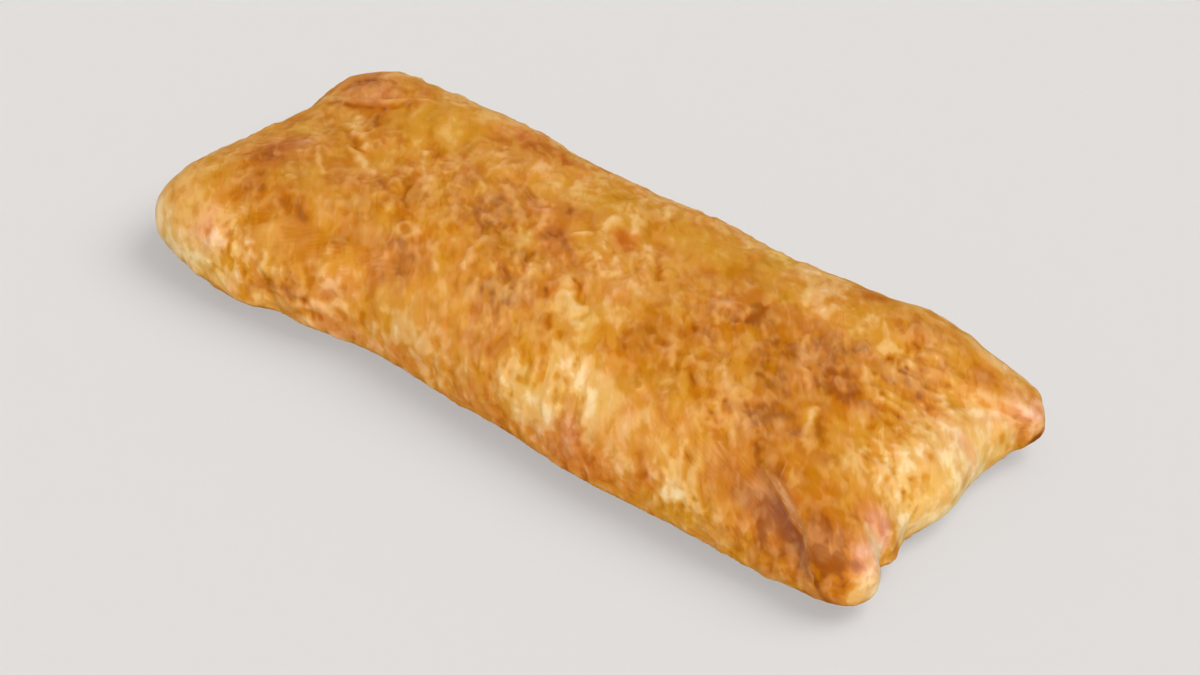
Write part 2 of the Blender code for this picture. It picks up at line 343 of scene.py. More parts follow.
# ------------------------------------------------------------------------ noise
def cell_number(ix, iy, iz, seed):
    """A repeatable number from 0 to 1 for each cell."""
    h = (ix * 73856093) ^ (iy * 19349663) ^ (iz * 83492791) ^ (seed * 40503)
    h &= 0xFFFFFFFF
    for _ in range(2):
        h = ((h ^ (h >> 16)) * 0x45D9F3B) & 0xFFFFFFFF
    return ((h ^ (h >> 16)) & 0xFFFFFF) / float(0xFFFFFF)


def noise(p, seed):
    """Smooth noise from about -1 to 1, one cell to each unit."""
    cell = np.floor(p).astype(np.int64)
    f = p - cell
    w = f * f * f * (f * (f * 6.0 - 15.0) + 10.0)
    total = np.zeros(len(p))
    for corner in range(8):
        d = ((corner >> 2) & 1, (corner >> 1) & 1, corner & 1)
        ix, iy, iz = (cell[:, n] + d[n] for n in range(3))
        turn = 2 * math.pi * cell_number(ix, iy, iz, seed)
        up = 2.0 * cell_number(ix, iy, iz, seed + 977) - 1.0
        flat = np.sqrt(np.maximum(1.0 - up * up, 0.0))
        lean = (flat * np.cos(turn) * (f[:, 0] - d[0]) + flat * np.sin(turn) * (f[:, 1] - d[1])
                + up * (f[:, 2] - d[2]))
        share = np.ones(len(p))
        for n in range(3):
            share = share * (w[:, n] if d[n] else 1.0 - w[:, n])
        total += lean * share
    return 1.55 * total


def fractal(p, size, seed, octaves=3, gain=0.5):
    total, height, most = 0.0, 1.0, 0.0
    for n in range(octaves):
        total = total + height * noise(p / size + 17.3 * n, seed + 31 * n)
        most += height
        size, height = size / 2.03, height * gain
    return total / most ** 0.7


def warped(p, size, amount, seed):
    shift = np.stack([noise(p / size + 5.7 * n, seed + 7 * n) for n in range(3)], axis=1)
    return p + amount * shift


def cell_spots(p, normals, pitch, chance, seed):
    """Spots scattered on the surface, one try to each cell: for each point the
    distance to the nearest spot's middle, with that spot's own number."""
    cell = np.floor(p / pitch).astype(np.int64)
    best = np.full(len(p), 1e3)
    number = np.zeros(len(p))
    for ox in (-1, 0, 1):
        for oy in (-1, 0, 1):
            for oz in (-1, 0, 1):
                c = [cell[:, 0] + ox, cell[:, 1] + oy, cell[:, 2] + oz]
                middle = np.stack([(c[n] + 0.15 + 0.7 * cell_number(*c, seed + n)) * pitch for n in range(3)], axis=1)
                offset = p - middle
                offset -= 0.75 * normals * np.sum(offset * normals, axis=1)[:, None]
                d = np.linalg.norm(offset, axis=1)
                here = (cell_number(*c, seed + 11) < chance) & (d < best)
                best = np.where(here, d, best)
                number = np.where(here, cell_number(*c, seed + 23), number)
    return best, number


# --------------------------------------------------- relief of the baked sheets
def combed(p, width, length):
    """Places squeezed so that noise comes out in short strokes, which run
    slantwise over the top and down the walls, the way the sheets wrinkle."""
    turn, tilt = math.radians(WRINKLE_TURN), math.radians(WRINKLE_TILT)
    across = p[:, 0] * math.cos(turn) + p[:, 1] * math.sin(turn)
    along = p[:, 1] * math.cos(turn) - p[:, 0] * math.sin(turn)
    down = along * math.cos(tilt) - p[:, 2] * math.sin(tilt)
    over = along * math.sin(tilt) + p[:, 2] * math.cos(tilt)
    return np.stack([across / width, down / length, over / length], axis=1)


def winding(q, bend, bend_size, thin, seed):
    """Thin winding lines (0 to 1) with one loop to about each unit."""
    bent = warped(q, bend_size, bend, seed)
    return np.exp(-(noise(bent, seed + 3) / thin) ** 2)


def side_places(p, side):
    x, y, z = p.T
    return {"top": (x, y), "front": (x, z), "back": (x, z), "right": (y, z), "left": (y, z)}[side]


def side_share(normals, side):
    facing = {"top": normals[:, 2], "front": -normals[:, 1], "back": normals[:, 1],
              "right": normals[:, 0], "left": -normals[:, 0]}[side]
    return smooth_step(0.15, 0.6, facing) if side == "top" else smooth_step(0.2, 0.6, facing)


def patch(p, normals, side, u, v, ru, rv, turn=0.0):
    """How strongly each point lies in an oval patch (0 to 1). On the top u, v
    are x, y; on the front and back x, z; on the ends y, z (millimetres)."""
    first, second = side_places(p, side)
    du, dv = first - u, second - v
    turn = math.radians(turn)
    along = (du * math.cos(turn) + dv * math.sin(turn)) / ru
    across = (dv * math.cos(turn) - du * math.sin(turn)) / rv
    return np.exp(-(along ** 2 + across ** 2) ** 1.4) * side_share(normals, side)


def stroke(p, normals, side, places, thick):
    """A raised line (0 to 1) through a few places on one side."""
    first, second = side_places(p, side)
    spots = np.stack([first, second], axis=1)
    best = np.full(len(p), 1e3)
    for start, end in zip(places[:-1], places[1:]):
        start, run = np.array(start, float), np.array(end, float) - np.array(start, float)
        share = np.clip((spots - start) @ run / (run @ run), 0, 1)
        best = np.minimum(best, np.linalg.norm(start + share[:, None] * run - spots, axis=1))
    return np.exp(-(best / thick) ** 2) * side_share(normals, side)


def oval(u, v, ru, rv, start=0, end=360, steps=14):
    turns = [math.radians(start + (end - start) * n / steps) for n in range(steps + 1)]
    return [(u + ru * math.cos(t), v + rv * math.sin(t)) for t in turns]


# Turn of the wrinkles over the top, and tilt of their noise, in degrees
WRINKLE_TURN, WRINKLE_TILT = 39, 31

# Where the crust is crinkled (+) or smooth (-): side, u, v, radii, turn, amount
CRINKLED = (
    ("top", 8, -2, 8, 5, 0, 0.2), ("top", -2, -16, 14, 7, 20, 0.4),
    ("top", -14, -3, 8, 8, 0, 0.35), ("top", 55, -21, 8, 6, -30, 0.4), ("top", 63.5, -25, 5, 4, -30, -0.7),
    ("top", 76, 12, 8, 12, 0, 0.7), ("top", 82, -8, 9, 14, 0, 0.5),
    ("top", -52, 17, 12, 8, 15, -0.8), ("top", -79, 25, 10, 6, 0, 0.2), ("right", 27, 11, 6, 6, 0, 0.5),
    ("top", -62, -10, 14, 12, 0, -0.3), ("top", 24, 15, 12, 7, 0, -0.6),
    ("top", 60, 31, 9, 6, 0, -0.6), ("top", -58, 0, 8, 8, 0, -0.3),
    ("top", 28, -13, 7, 6, 0, -0.4), ("top", 57, -6, 8, 7, 0, -0.2),
    ("front", -66, 12, 11, 7, 0, 0.8), ("front", 52, 13, 10, 7, 0, 0.5),
    ("front", 18, 17, 14, 6, 0, 0.3), ("front", -34, 12, 12, 6, 0, -0.2),
)
# Single lines of the upper sheets, raised and pale: side, places, thickness
RAISED = {
    "curl_left": ("top", [(-71, 11), (-67, 6.5), (-62, 2.5)], 0.9),
    "curl_left_lower": ("top", [(-72, 8), (-66, 4.5), (-60, 0.5)], 0.7),
    "edge_under_the_curl": ("top", [(-63, -1), (-57, -4), (-53, -6.5)], 0.9),
    "edge_left": ("top", [(-69, -5), (-65, -9), (-61, -12)], 0.7),
    "short_edge_left": ("top", [(-48, 6), (-45, 2)], 0.8),
    "edge_left_of_middle": ("top", [(-44, 0), (-39, -4.5), (-35, -8)], 0.9),
    "edge_behind_it": ("top", [(-36, 18), (-33, 13.5), (-30.5, 10)], 0.8),
    "long_edge": ("top", [(-26, 6), (-21, 2.5), (-17, 0), (-14, -4), (-10, -8)], 0.8),
    "short_edge": ("top", [(-14, 4), (-12, 1.5), (-11, -3)], 0.6),
    "down_edge": ("top", [(-18, -10), (-17.5, -15), (-15.5, -20)], 0.8),
    "front_edge": ("top", [(-25, -18), (-21, -23)], 0.7),
    "bead": ("top", [(-3, -13), (-2.6, -17), (-1, -22)], 0.7),
    "ring_left": ("top", [(-1, 11), (-0.8, 5), (3, 1.5), (6, -3.2), (8.2, -5.2), (10.8, -4.3), (10.2, -1.5), (7.4, 0)], 0.9),
    "ring_right": ("top", [(1.4, 15), (3.4, 12), (5.2, 9.4)], 0.9),
    "edge_right_of_ring": ("top", [(10.1, 7.5), (13, 4), (16.2, -1)], 0.9),
    "edge_left_of_ring": ("top", [(-4, 1.2), (-1.4, 3.2)], 0.7),
    "loop_at_left_front": ("top", oval(-41.5, -31.0, 2.2, 1.7), 0.6),
    "bead_by_the_loop": ("top", [(-44.8, -29), (-44.4, -28.4)], 0.8),
    "foot_flap": ("front", [(-53, 7.2), (-48.5, 8.8), (-43, 10.2), (-37, 11.7)], 1.1),
    "foot_flap_top": ("front", [(-48.5, 11.4), (-44, 11.2)], 1.3),
    "crumb_at_the_foot": ("front", [(-54.4, 10.3), (-52.8, 10.4)], 1.0),
    "edge_behind_ring": ("top", [(2, 25), (6, 18.5)], 0.9),
    "cream_edge": ("top", [(4, -11), (8, -15), (14.5, -21)], 1.1),
    "cream_edge_lower": ("top", [(11, -16), (15, -19.5)], 0.8),
    "edge_right": ("top", [(33, 1), (36, -3)], 0.8),
    "edge_right_back": ("top", [(43, 19), (45.5, 14)], 1.0),
    "edge_far_right": ("top", [(52, 6), (54, 2), (58, -3), (60.5, -5)], 0.8),
    "edge_before_end": ("top", [(65, -9), (66.5, -14), (69, -19)], 0.9),
    "edge_to_the_dart": ("top", [(46, -13), (52, -18), (58, -22.5)], 0.9),
    "short_edge_right": ("top", [(33, -13), (36.5, -18)], 0.8),
    "loop_at_the_front": ("top", oval(-33.0, -17.5, 2.4, 1.8), 0.55),
    "roll_edge": ("top", [(-85, 17.0), (-81, 16.0), (-77, 15.8), (-73, 17.2), (-70, 17.4), (-66, 19.6), (-62, 22.5)], 0.9),
    "end_streak": ("top", [(83, -3), (87, -9), (88, -14)], 0.9),
    "end_streak_back": ("top", [(84, 12), (87.5, 7), (90, 2)], 0.9),
}
# Creases between the sheets, sunk, and painted dark for the shade in them: side, places, thickness
CREASES = {
    "under_the_roll": ("top", [(-83, 14.6), (-77, 14.0), (-72, 15.0), (-68, 15.8), (-64, 18.5)], 0.9),
    "inside_the_roll": ("top", [(-84, 25), (-77, 26.5), (-70, 25)], 0.7),
    "behind_the_curl": ("top", [(-68, 13), (-64, 9)], 0.8),
    "before_the_curl": ("top", [(-70, 5), (-65, 1.5), (-60, -0.5)], 0.8),
    "spot_left": ("top", [(-46, 8), (-44.5, 6.3)], 1.3),
    "beside_left_edge": ("top", [(-46, -3), (-42, -7.5), (-38, -12)], 0.7),
    "spot_before_middle": ("top", [(-6.8, -9), (-6, -11)], 0.8),
    "beside_the_cream": ("top", [(5.5, -10), (8, -12), (11, -14.5)], 0.8),
    "spot_in_the_cream": ("top", [(2, -15), (3, -16.5)], 0.7),
    "slit_in_the_cream": ("top", [(7, -20.5), (8.8, -22.6)], 1.0),
    "spot_by_the_wall": ("top", [(11.8, -23), (12.6, -23.8)], 0.7),
    "beside_the_ring": ("top", [(13.5, 7), (16, 3.5), (18.5, 0.5)], 0.8),
    "right_slit": ("top", [(40.2, 6.5), (41, 1.5)], 1.2),
    "right_spot_front": ("top", [(51.6, -9.3), (52.4, -9.7)], 0.7),
    "front_slit_right": ("top", [(40, -17), (45.5, -21.5)], 0.9),
    "front_slit": ("top", [(35.5, -14.5), (38.5, -18.5)], 0.9),
    "slit_before_end": ("top", [(67, -10), (69.5, -13), (72, -15.5)], 1.0),
    "slit_at_end": ("top", [(75.3, -15.8), (76, -18.8)], 1.0),
    "dart_line": ("top", [(61, -24.2), (65, -26.3)], 0.7),
    "left_lobe_spot": ("front", [(-73.4, 16), (-72.9, 15.2)], 0.7),
    "left_lobe_spot_right": ("front", [(-70, 17), (-69.4, 16)], 0.8),
    "left_lobe_edge": ("front", [(-66.5, 18), (-66, 14), (-65, 11)], 0.7),
    "above_the_flap_left": ("front", [(-55.9, 12.3), (-54.6, 11.7)], 1.1),
    "above_the_flap": ("front", [(-51.4, 11.6), (-50.2, 9.9)], 1.1),
    "above_the_flap_right": ("front", [(-33.4, 11.6), (-32.6, 9.6)], 1.0),
    "gap_at_the_foot": ("front", [(-67.4, 9.2), (-66.5, 8.2)], 0.9),
    "gap_by_the_lobe": ("front", [(-63.2, 12.6), (-62.4, 11.4)], 0.9),
    "notch_of_back_ear": ("right", [(26.6, 5.0), (28.4, 6.8)], 0.9),
}


def baked_relief(p, normals):
    """Fine relief in millimetres, with the marks that the colours follow."""
    x, y, z = p.T
    lower = smooth_step(0.6, 3.5, z)
    top = smooth_step(0.35, 0.8, normals[:, 2])
    wall = 1.0 - smooth_step(0.45, 0.85, normals[:, 2])
    marks = {}

    crinkled = 0.62 + 0.50 * noise(p / 17.0, 301)
    for side, u, v, ru, rv, turn, amount in CRINKLED:
        crinkled += amount * patch(p, normals, side, u, v, ru, rv, turn)
    crinkled = np.clip(crinkled, 0.12, 1.25)
    marks["crinkled"] = crinkled

    # uneven rise of the sheets
    swell = fractal(p, 12.0, 11, 2)
    dapple = fractal(combed(warped(p, 6.0, 1.5, 15), 3.0, 7.5), 1.0, 17, 2)
    relief = 0.13 * swell + 0.08 * dapple
    marks["dapple"] = dapple

    # soft winding ridges, large and small, which come and go
    come = noise(p / 4.4, 47)
    large = winding(combed(p, 2.9, 7.0), 0.50, 1.1, 0.30, 41) * (1.0 - wall)
    large = (large + winding(p / 3.6, 0.50, 1.1, 0.30, 43) * wall) * smooth_step(-0.15, 0.25, come)
    small = winding(combed(p + 9.0, 2.1, 4.6), 0.45, 1.0, 0.36, 51) * smooth_step(0.0, 0.35, noise(p / 3.2 + 3.1, 57))
    relief += crinkled * (0.34 * large + 0.18 * small)
    marks["ridge"] = np.clip(large, 0, 1) * np.clip(crinkled, 0, 1)
    marks["fine_ridge"] = np.clip(small, 0, 1) * np.clip(crinkled, 0, 1)

    # crumbly lumps in the most crinkled places
    lump = np.tanh(2.0 * noise(combed(warped(p, 2.0, 0.6, 161), 1.5, 3.4), 163))
    crumbly = smooth_step(0.75, 1.15, crinkled)
    relief += 0.15 * crumbly * lump
    marks["lump"] = crumbly * lump

    # edges of torn upper sheets: the crust steps up to a slightly raised lip
    torn = noise(warped(p, 7.0, 3.0, 61) / 14.0, 63) + 0.34 * noise(combed(p, 3.4, 7.0), 67)
    flaky = smooth_step(-0.1, 0.4, noise(p / 16.0 + 2.2, 73) + 0.2) * (0.35 + 0.65 * top)
    lip, step = 0.0, 0.0
    for level in (-0.40, 0.02, 0.40):
        step = step + smooth_step(-0.12, 0.12, torn - level) - 0.5
        lip = lip + np.exp(-(((torn - level - 0.15) / 0.15) ** 2))
    relief += flaky * (0.20 * step + 0.12 * lip)
    marks["lip"] = np.clip(lip, 0, 1) * flaky

    # blisters, some whole, some broken open to a ragged ring round a darker floor
    ragged = warped(p, 2.2, 1.3, 85)
    distance, own = cell_spots(ragged, normals, 9.0, 0.30, 81)
    radius = 1.2 + 1.8 * np.mod(own * 7.13, 1.0)
    reach = distance / radius
    dome = np.clip(1.0 - reach ** 2, 0, 1) ** 1.5
    ring = np.exp(-(((distance - radius) / 0.55) ** 2)) * smooth_step(-0.35, 0.1, noise(p / 2.4, 87))
    broken = np.where(np.mod(own * 3.77, 1.0) > 0.5, 1.0, 0.0)
    relief += top * ((1 - broken) * 0.22 * dome + broken * (0.20 * ring - 0.10 * dome))
    marks["blister"] = top * (1 - broken) * dome
    marks["ring"] = top * broken * ring
    marks["open"] = top * broken * np.clip(1.0 - reach, 0, 1)

    # single raised lines
    uneven = warped(p, 2.6, 0.9, 131)
    lines, cuts = np.zeros(len(p)), np.zeros(len(p))
    for side, places, thick in RAISED.values():
        lines = np.maximum(lines, stroke(uneven, normals, side, places, thick))
    for side, places, thick in CREASES.values():
        cuts = np.maximum(cuts, stroke(uneven, normals, side, places, thick))
    lines *= smooth_step(-0.6, -0.1, noise(p / 2.8, 137))
    relief += 0.34 * lines - 0.20 * cuts
    marks["line"], marks["cut"] = lines, cuts

    # wrinkles of the walls, running down to the rim
    pleat = noise(combed(warped(p, 6.0, 1.6, 91), 2.9, 9.0), 93)
    pleat_fine = noise(combed(p, 2.0, 5.0) + 7.7, 97)
    crest = np.exp(-(pleat / 0.15) ** 2) * smooth_step(-0.3, 0.2, noise(p / 7.0, 99))
    walled = wall * smooth_step(1.5, 6.0, z) * (1.0 - 0.65 * smooth_step(0.3, 0.7, normals[:, 0]))
    relief += walled * (0.18 * pleat + 0.18 * crest + 0.06 * pleat_fine)
    marks["pleat"] = walled * crest
    marks["pleat_wave"] = walled * (0.7 * pleat + 0.5 * pleat_fine)

    # edges of the wrapped sheets along the foot of the walls
    foot = (1.0 - smooth_step(6.5, 10.5, z)) * smooth_step(0.5, 1.6, z)
    level = z + 0.9 * noise(p / 9.0, 101) + 0.35 * noise(p / 3.0, 103)
    layer = np.mod(level / 1.9, 1.0)
    shown = smooth_step(-0.2, 0.3, noise(p / 8.0, 107))
    relief += foot * 0.20 * (layer - 0.5) * shown
    marks["layer"] = foot * smooth_step(0.7, 1.0, layer) * shown

    # small pits in the crinkled places
    distance, own = cell_spots(p, normals, 2.9, 0.30, 121)
    pit = np.exp(-(distance / 0.6) ** 2) * smooth_step(0.75, 1.1, crinkled)
    relief -= 0.20 * pit
    marks["pit"] = pit

    return relief * lower, marks


def fold_marks(points, lines):
    """Where the dart's pale lip, its hollow and the line between them lie. The hollow and the line are painted darker
    below, in part as the shade in the fold.
    """
    dart = FOLDS["front_right_dart"]
    _, signed, along = distance_to_line(points, lines["front_right_dart"])
    across = signed * dart["side"] * 1000.0
    strength = smooth_step(*dart["swells"], along)
    middle = smooth_step(0.40, 0.56, along) * (1.0 - smooth_step(0.74, 0.94, along))
    hollow = smooth_step(0.4, 1.6, across) * np.exp(-(np.maximum(across - 2.0, 0.0) / 2.3) ** 2)
    lip = bell(across, -0.4, 1.05) * smooth_step(0.34, 0.50, along) * (1.0 - smooth_step(0.74, 0.95, along))
    beyond = smooth_step(-1.8, -3.4, across) * smooth_step(-9.0, -5.0, across) * smooth_step(0.30, 0.50, along)
    return {"lip": lip, "hollow": middle * hollow, "under": strength * bell(across, 1.0, 0.6),
            "beyond": beyond}


# ----------------------------------------------------------------------- colours
# Browning of single places, with some painted light and shade among them, each marked where it stands:
# side, u, v, radii, turn, darker (+) or paler (-), redder (-) or yellower (+)
BROWNED_AND_PAINTED_LIGHT = {
    # left third of the top
    "folded_back_left_corner": ("top", -78, 22, 11, 6, -10, 0.14, -0.5),
    "end_of_the_roll": ("top", -63, 21, 4, 2.8, 0, 0.16, -0.6),
    "before_the_roll": ("top", -74, 17, 6, 3, -10, 0.16, -0.6),
    "beside_the_curl": ("top", -67, 13, 6, 3, -45, 0.10, -0.2),
    "ochre_field": ("top", -55, 17, 9, 11, 0, -0.10, 0.6),
    "ochre_field_right": ("top", -45, 13, 4, 6, 0, -0.05, 0.5),
    "orange_by_the_band": ("top", -40, 24, 4, 5, 30, 0.06, -0.4),
    "brown_band_at_back": ("top", -33, 26, 8, 5, -25, 0.26, -0.7),
    "brown_band_at_back_right": ("top", -23, 25, 5, 3, -20, 0.14, -0.6),
    "rosy_pale_before_band": ("top", -28, 18, 4, 2.6, 0, -0.12, -0.5),
    "pale_before_band": ("top", -22, 14, 6, 2.6, -20, -0.24, 0.1),
    "vivid_left_of_middle": ("top", -34.5, 9, 3, 3, 0, 0.07, 0.2),
    "brown_left_of_middle": ("top", -34, 4, 2.4, 4, 0, 0.24, 0.0),
    "olive_left_of_middle": ("top", -30, 4, 2, 4, 0, 0.00, 0.6),
    "red_at_left_end": ("top", -77, -6.5, 6, 4, -20, 0.20, -1.0),
    "brown_at_left_end": ("top", -77, -12, 6, 4, -20, 0.22, -0.5),
    "amber_at_left": ("top", -72, -22, 6, 5, 0, 0.20, -0.2),
    "olive_at_left_end": ("top", -79, 2, 5, 4, 0, 0.02, 0.8),
    "yellow_at_left_front": ("top", -85, -24, 7, 7, 0, -0.20, 0.2),
    "pale_left_rim": ("top", -89, 16, 4, 9, 0, -0.12, 0.1),
    "olive_amber_left": ("top", -67, -15, 5, 5, 0, 0.20, 0.4),
    "amber_streak_left": ("top", -62, -4, 3, 6, 30, 0.12, 0.2),
    "pale_mid_left": ("top", -57, -18, 5, 4, 0, -0.08, 0.2),
    "ochre_mid_left": ("top", -48, -18, 5.5, 4, 0, 0.18, 0.2),
    "amber_by_ochre": ("top", -45.5, -16.5, 3, 2.6, 0, 0.18, 0.0),
    "orange_mid_left": ("top", -50, -11, 7, 5, 0, 0.10, -0.2),
    "amber_mid_left": ("top", -45, -8, 5, 4, -45, 0.14, 0.0),
    "amber_mid_left_right": ("top", -39, -6, 3, 3, 0, 0.18, 0.0),
    "brown_front_left": ("top", -56, -25.5, 4.5, 3, 0, 0.22, 0.1),
    "brown_spot_front_left": ("top", -46, -24.5, 3.0, 2.4, 0, -0.06, 0.1),
    "amber_front_left": ("top", -43, -29, 7, 5, 0, 0.26, 0.2),
    "pale_shoulder_left": ("top", -37.5, -28.8, 4.4, 3, 0, -0.42, -0.3),
    "pale_by_the_lobe": ("top", -81, -30, 4, 3, 0, -0.22, -0.1),
    # middle of the top
    "brown_behind_long_edge": ("top", -22, 6.5, 5, 2.6, 0, 0.16, -0.2),
    "brown_before_long_edge": ("top", -21.5, -3, 7, 6, -30, 0.36, -0.1),
    "red_behind_middle": ("top", -13, 4, 5, 4.5, 0, 0.09, -0.5),
    "brown_behind_middle": ("top", -8.5, 6.5, 3, 2.6, -45, 0.18, 0.0),
    "brown_middle": ("top", -5, -3.5, 6, 4.5, -20, 0.26, -0.6),
    "grey_ochre_behind_middle": ("top", -3, 13.5, 7, 3.6, -30, -0.14, 0.5),
    "pale_streaks_behind": ("top", -12, 15.5, 7, 3.6, -45, -0.24, 0.0),
    "vivid_at_back": ("top", -5, 20.5, 6, 3.2, 0, 0.05, 0.4),
    "light_orange_at_back": ("top", -5, 25, 6, 3, -25, -0.08, 0.0),
    "orange_spot": ("top", 4.7, 6.0, 2.2, 3.9, 39, 0.16, -1.0),
    "pale_round_the_spot": ("top", 5, 5, 6, 9, 30, -0.08, 0.0),
    "brown_behind_right": ("top", 8, 19, 3, 2.6, 0, 0.12, 0.3),
    "ochre_field_back": ("top", 20, 16, 9, 8, 0, -0.10, 0.4),
    "brown_right_of_spot": ("top", 12, 9.5, 4, 2, -20, 0.15, 0.0),
    "amber_back_right": ("top", 28, 17, 4, 5, 0, 0.12, -0.1),
    "amber_right_of_middle": ("top", 22, 3, 6, 5, 0, 0.06, 0.0),
    "peach_right_of_hook": ("top", 15, -6, 5, 4, -30, -0.10, -0.5),
    "olive_before_middle": ("top", -12.5, -11, 6, 3.6, 0, 0.20, 0.4),
    "brown_before_middle": ("top", -5, -20.5, 6, 4, 0, 0.38, 0.2),
    "pale_left_front": ("top", -27.5, -15.5, 6, 4, 0, -0.16, 0.0),
    "brown_left_front": ("top", -30, -23, 7, 7, -10, 0.42, -0.1),
    "pale_squiggles_front": ("top", -16, -26, 6, 2, -10, -0.22, -0.2),
    "red_beside_bead": ("top", 2, -17, 3, 4, 0, 0.12, -0.5),
    "cream_before_middle": ("top", 8.5, -15.5, 4.5, 3, -40, -0.26, 0.2),
    "amber_before_the_ring": ("top", 4.5, -9, 5, 3.4, 0, 0.20, 0.0),
    "yellow_before_middle": ("top", 14, -19, 6, 4, -40, -0.20, 0.5),
    "brown_streak_front": ("top", -3.5, -30, 7.5, 4, -15, 0.30, -0.1),
    "amber_right_front": ("top", 28, -15, 5.5, 6, -20, 0.22, 0.1),
    "cream_shoulder": ("top", 25, -29.3, 8, 4, -15, -0.50, 0.0),
    "cream_behind_shoulder": ("top", 23.5, -25, 4, 2.6, 0, -0.16, 0.0),
    "amber_shoulder_middle": ("top", 33, -31.5, 4, 3, 0, 0.14, -0.1),
    "peach_shoulder": ("top", 36.5, -30, 4.4, 3.4, 0, -0.26, -0.3),
    "cream_right_of_middle": ("top", 19.5, -15, 3.4, 4, 0, -0.24, 0.0),
    "cream_shoulder_left": ("top", 8, -32, 4.5, 2.6, -10, -0.20, 0.1),
    "cream_behind_it": ("top", 15.5, -26, 3.4, 2.4, 0, -0.18, -0.1),
    "amber_beside_it": ("top", 13.5, -31.5, 3, 2.6, 0, 0.18, 0.0),
    # right third of the top
    "olive_brown_right": ("top", 36, 12, 4.5, 2.2, 0, 0.12, 0.5),
    "vivid_yellow_right": ("top", 41.5, 12, 2.6, 1.7, 0, 0.00, 1.0),
    "olive_back_right": ("top", 31, 24, 3.5, 7, 25, 0.03, 0.9),
    "cream_back_right": ("top", 46, 17.5, 6, 3.4, -40, -0.32, -0.1),
    "peach_back_right": ("top", 52, 14, 6, 3, 0, -0.16, -0.2),
    "light_back_right": ("top", 44, 23.5, 8, 3.8, -30, -0.24, 0.0),
    "brown_back_edge_right": ("top", 52, 28, 6, 3, -30, 0.26, -0.5),
    "ochre_right": ("top", 60, 17, 8, 4, -15, -0.13, 0.3),
    "amber_hump": ("top", 66, 25, 6, 5, 0, 0.06, 0.1),
    "olive_brown_far_right": ("top", 59.5, 8, 6, 5, 0, 0.38, 0.1),
    "red_right": ("top", 54, 7.5, 5, 4, 0, 0.14, -0.4),
    "brown_right": ("top", 46, 2, 7, 5, -30, 0.18, 0.1),
    "brown_right_front": ("top", 51, -4, 7, 5, -45, 0.20, 0.1),
    "amber_right_middle": ("top", 56, 2.5, 4, 3.4, 0, 0.16, -0.1),
    "brown_before_end": ("top", 67, -8, 3, 3, 0, 0.18, 0.2),
    "red_brown_far_right": ("top", 63.5, 0, 6, 4, -10, 0.34, -0.4),
    "red_brown_far_right_end": ("top", 69, 0, 4.5, 3.5, -30, 0.24, -0.4),
    "rosy_right": ("top", 35.5, 0, 5, 5, -30, 0.30, -0.3),
    "amber_before_it": ("top", 36, -7.5, 3.4, 3, 0, 0.24, 0.0),
    "brown_back_end": ("top", 62, 9, 3, 3, 0, 0.22, 0.0),
    "pale_back_end": ("top", 67.3, 14, 3.4, 3, 0, -0.34, 0.0),
    "amber_far_right": ("top", 58, -9, 5, 6, -30, 0.18, 0.0),
    "brown_behind_dart": ("top", 62, -18, 6, 5, 0, 0.46, 0.0),
    "amber_before_ear": ("top", 75.6, -18.8, 3, 3, 0, 0.16, 0.0),
    "pale_at_end": ("top", 73.4, -9, 3, 5, 0, -0.26, 0.1),
    "pale_at_end_back": ("top", 74, 5, 4, 4, 0, -0.20, 0.2),
    "rosy_at_end": ("top", 78, 9, 4, 3, 0, -0.04, -0.5),
    "brown_at_end_back": ("top", 72.5, 10, 4, 4.5, 0, 0.42, -0.1),
    "cream_at_end": ("top", 84.5, 2, 5, 7, 0, -0.40, 0.0),
    "peach_at_end_back": ("top", 87, 20.5, 4, 5, 0, -0.26, -0.3),
    "rosy_back_ear": ("top", 91, 28.5, 4, 4, 0, -0.16, -0.5),
    "orange_back_right_ear": ("top", 81, 27, 5, 4, -20, 0.18, -0.3),
    "yellow_at_end_front": ("top", 81, -13, 5, 5, 0, -0.36, 0.2),
    "cream_at_end_front": ("top", 87, -12, 4, 4, 0, 0.12, 0.2),
    "yellow_end_top": ("right", -7, 12.6, 4.5, 3, 0, 0.14, 0.3),
    "yellow_end_top_back": ("right", 9, 11.5, 3.5, 2.4, 0, 0.16, 0.4),
    "cream_end_top": ("top", 85, 15.5, 5.5, 7, 0, -0.32, -0.1),
    "cream_mid_end": ("top", 83.5, -5, 4.5, 4, 0, -0.26, 0.0),
    "amber_mid_end": ("top", 82.5, 10, 3, 3, 0, 0.20, 0.0),
    # painted light: the far rim behind the ear is painted paler for the light on it
    "pale_behind_ear": ("top", 82, 31.5, 6, 3, 0, -0.32, 0.1),
    "rosy_groove": ("top", 89, -21, 3, 3.6, 0, -0.04, -0.5),
    "amber_beyond_dart": ("top", 76, -25.5, 5, 3, -20, 0.14, 0.1),
    "brown_beyond_dart": ("top", 86, -31.5, 7, 4, -30, 0.28, -0.2),
    "olive_front_right": ("top", 40, -23, 7, 3, 0, 0.03, 0.5),
    "peach_front_right": ("top", 53.5, -21, 6, 4, -20, 0.26, 0.0),
    # front wall
    "cream_left_lobe": ("front", -72.5, 15.5, 5.5, 3.8, 0, -0.28, -0.5),
    "cream_left_lobe_left": ("front", -81, 16, 5, 4, 0, -0.10, 0.1),
    "cream_above_lobe": ("top", -71, -32.5, 4, 3, 0, -0.14, -0.3),
    # painted light: these three make the left tip and the left end paler, standing in for light on that end
    "yellow_left_tip": ("front", -86, 8, 9, 6, 0, -0.42, 0.35),
    "pale_left_end_front": ("left", -29, 11, 8, 8, 0, -0.32, 0.3),
    "pale_left_end_middle": ("left", -14, 12, 7, 5, 0, -0.10, 0.3),
    "yellow_foot_left": ("front", -72, 9, 11, 5, 0, -0.24, 0.4),
    "brown_beside_lobe": ("front", -64, 13, 3.5, 4, 0, -0.20, 0.1),
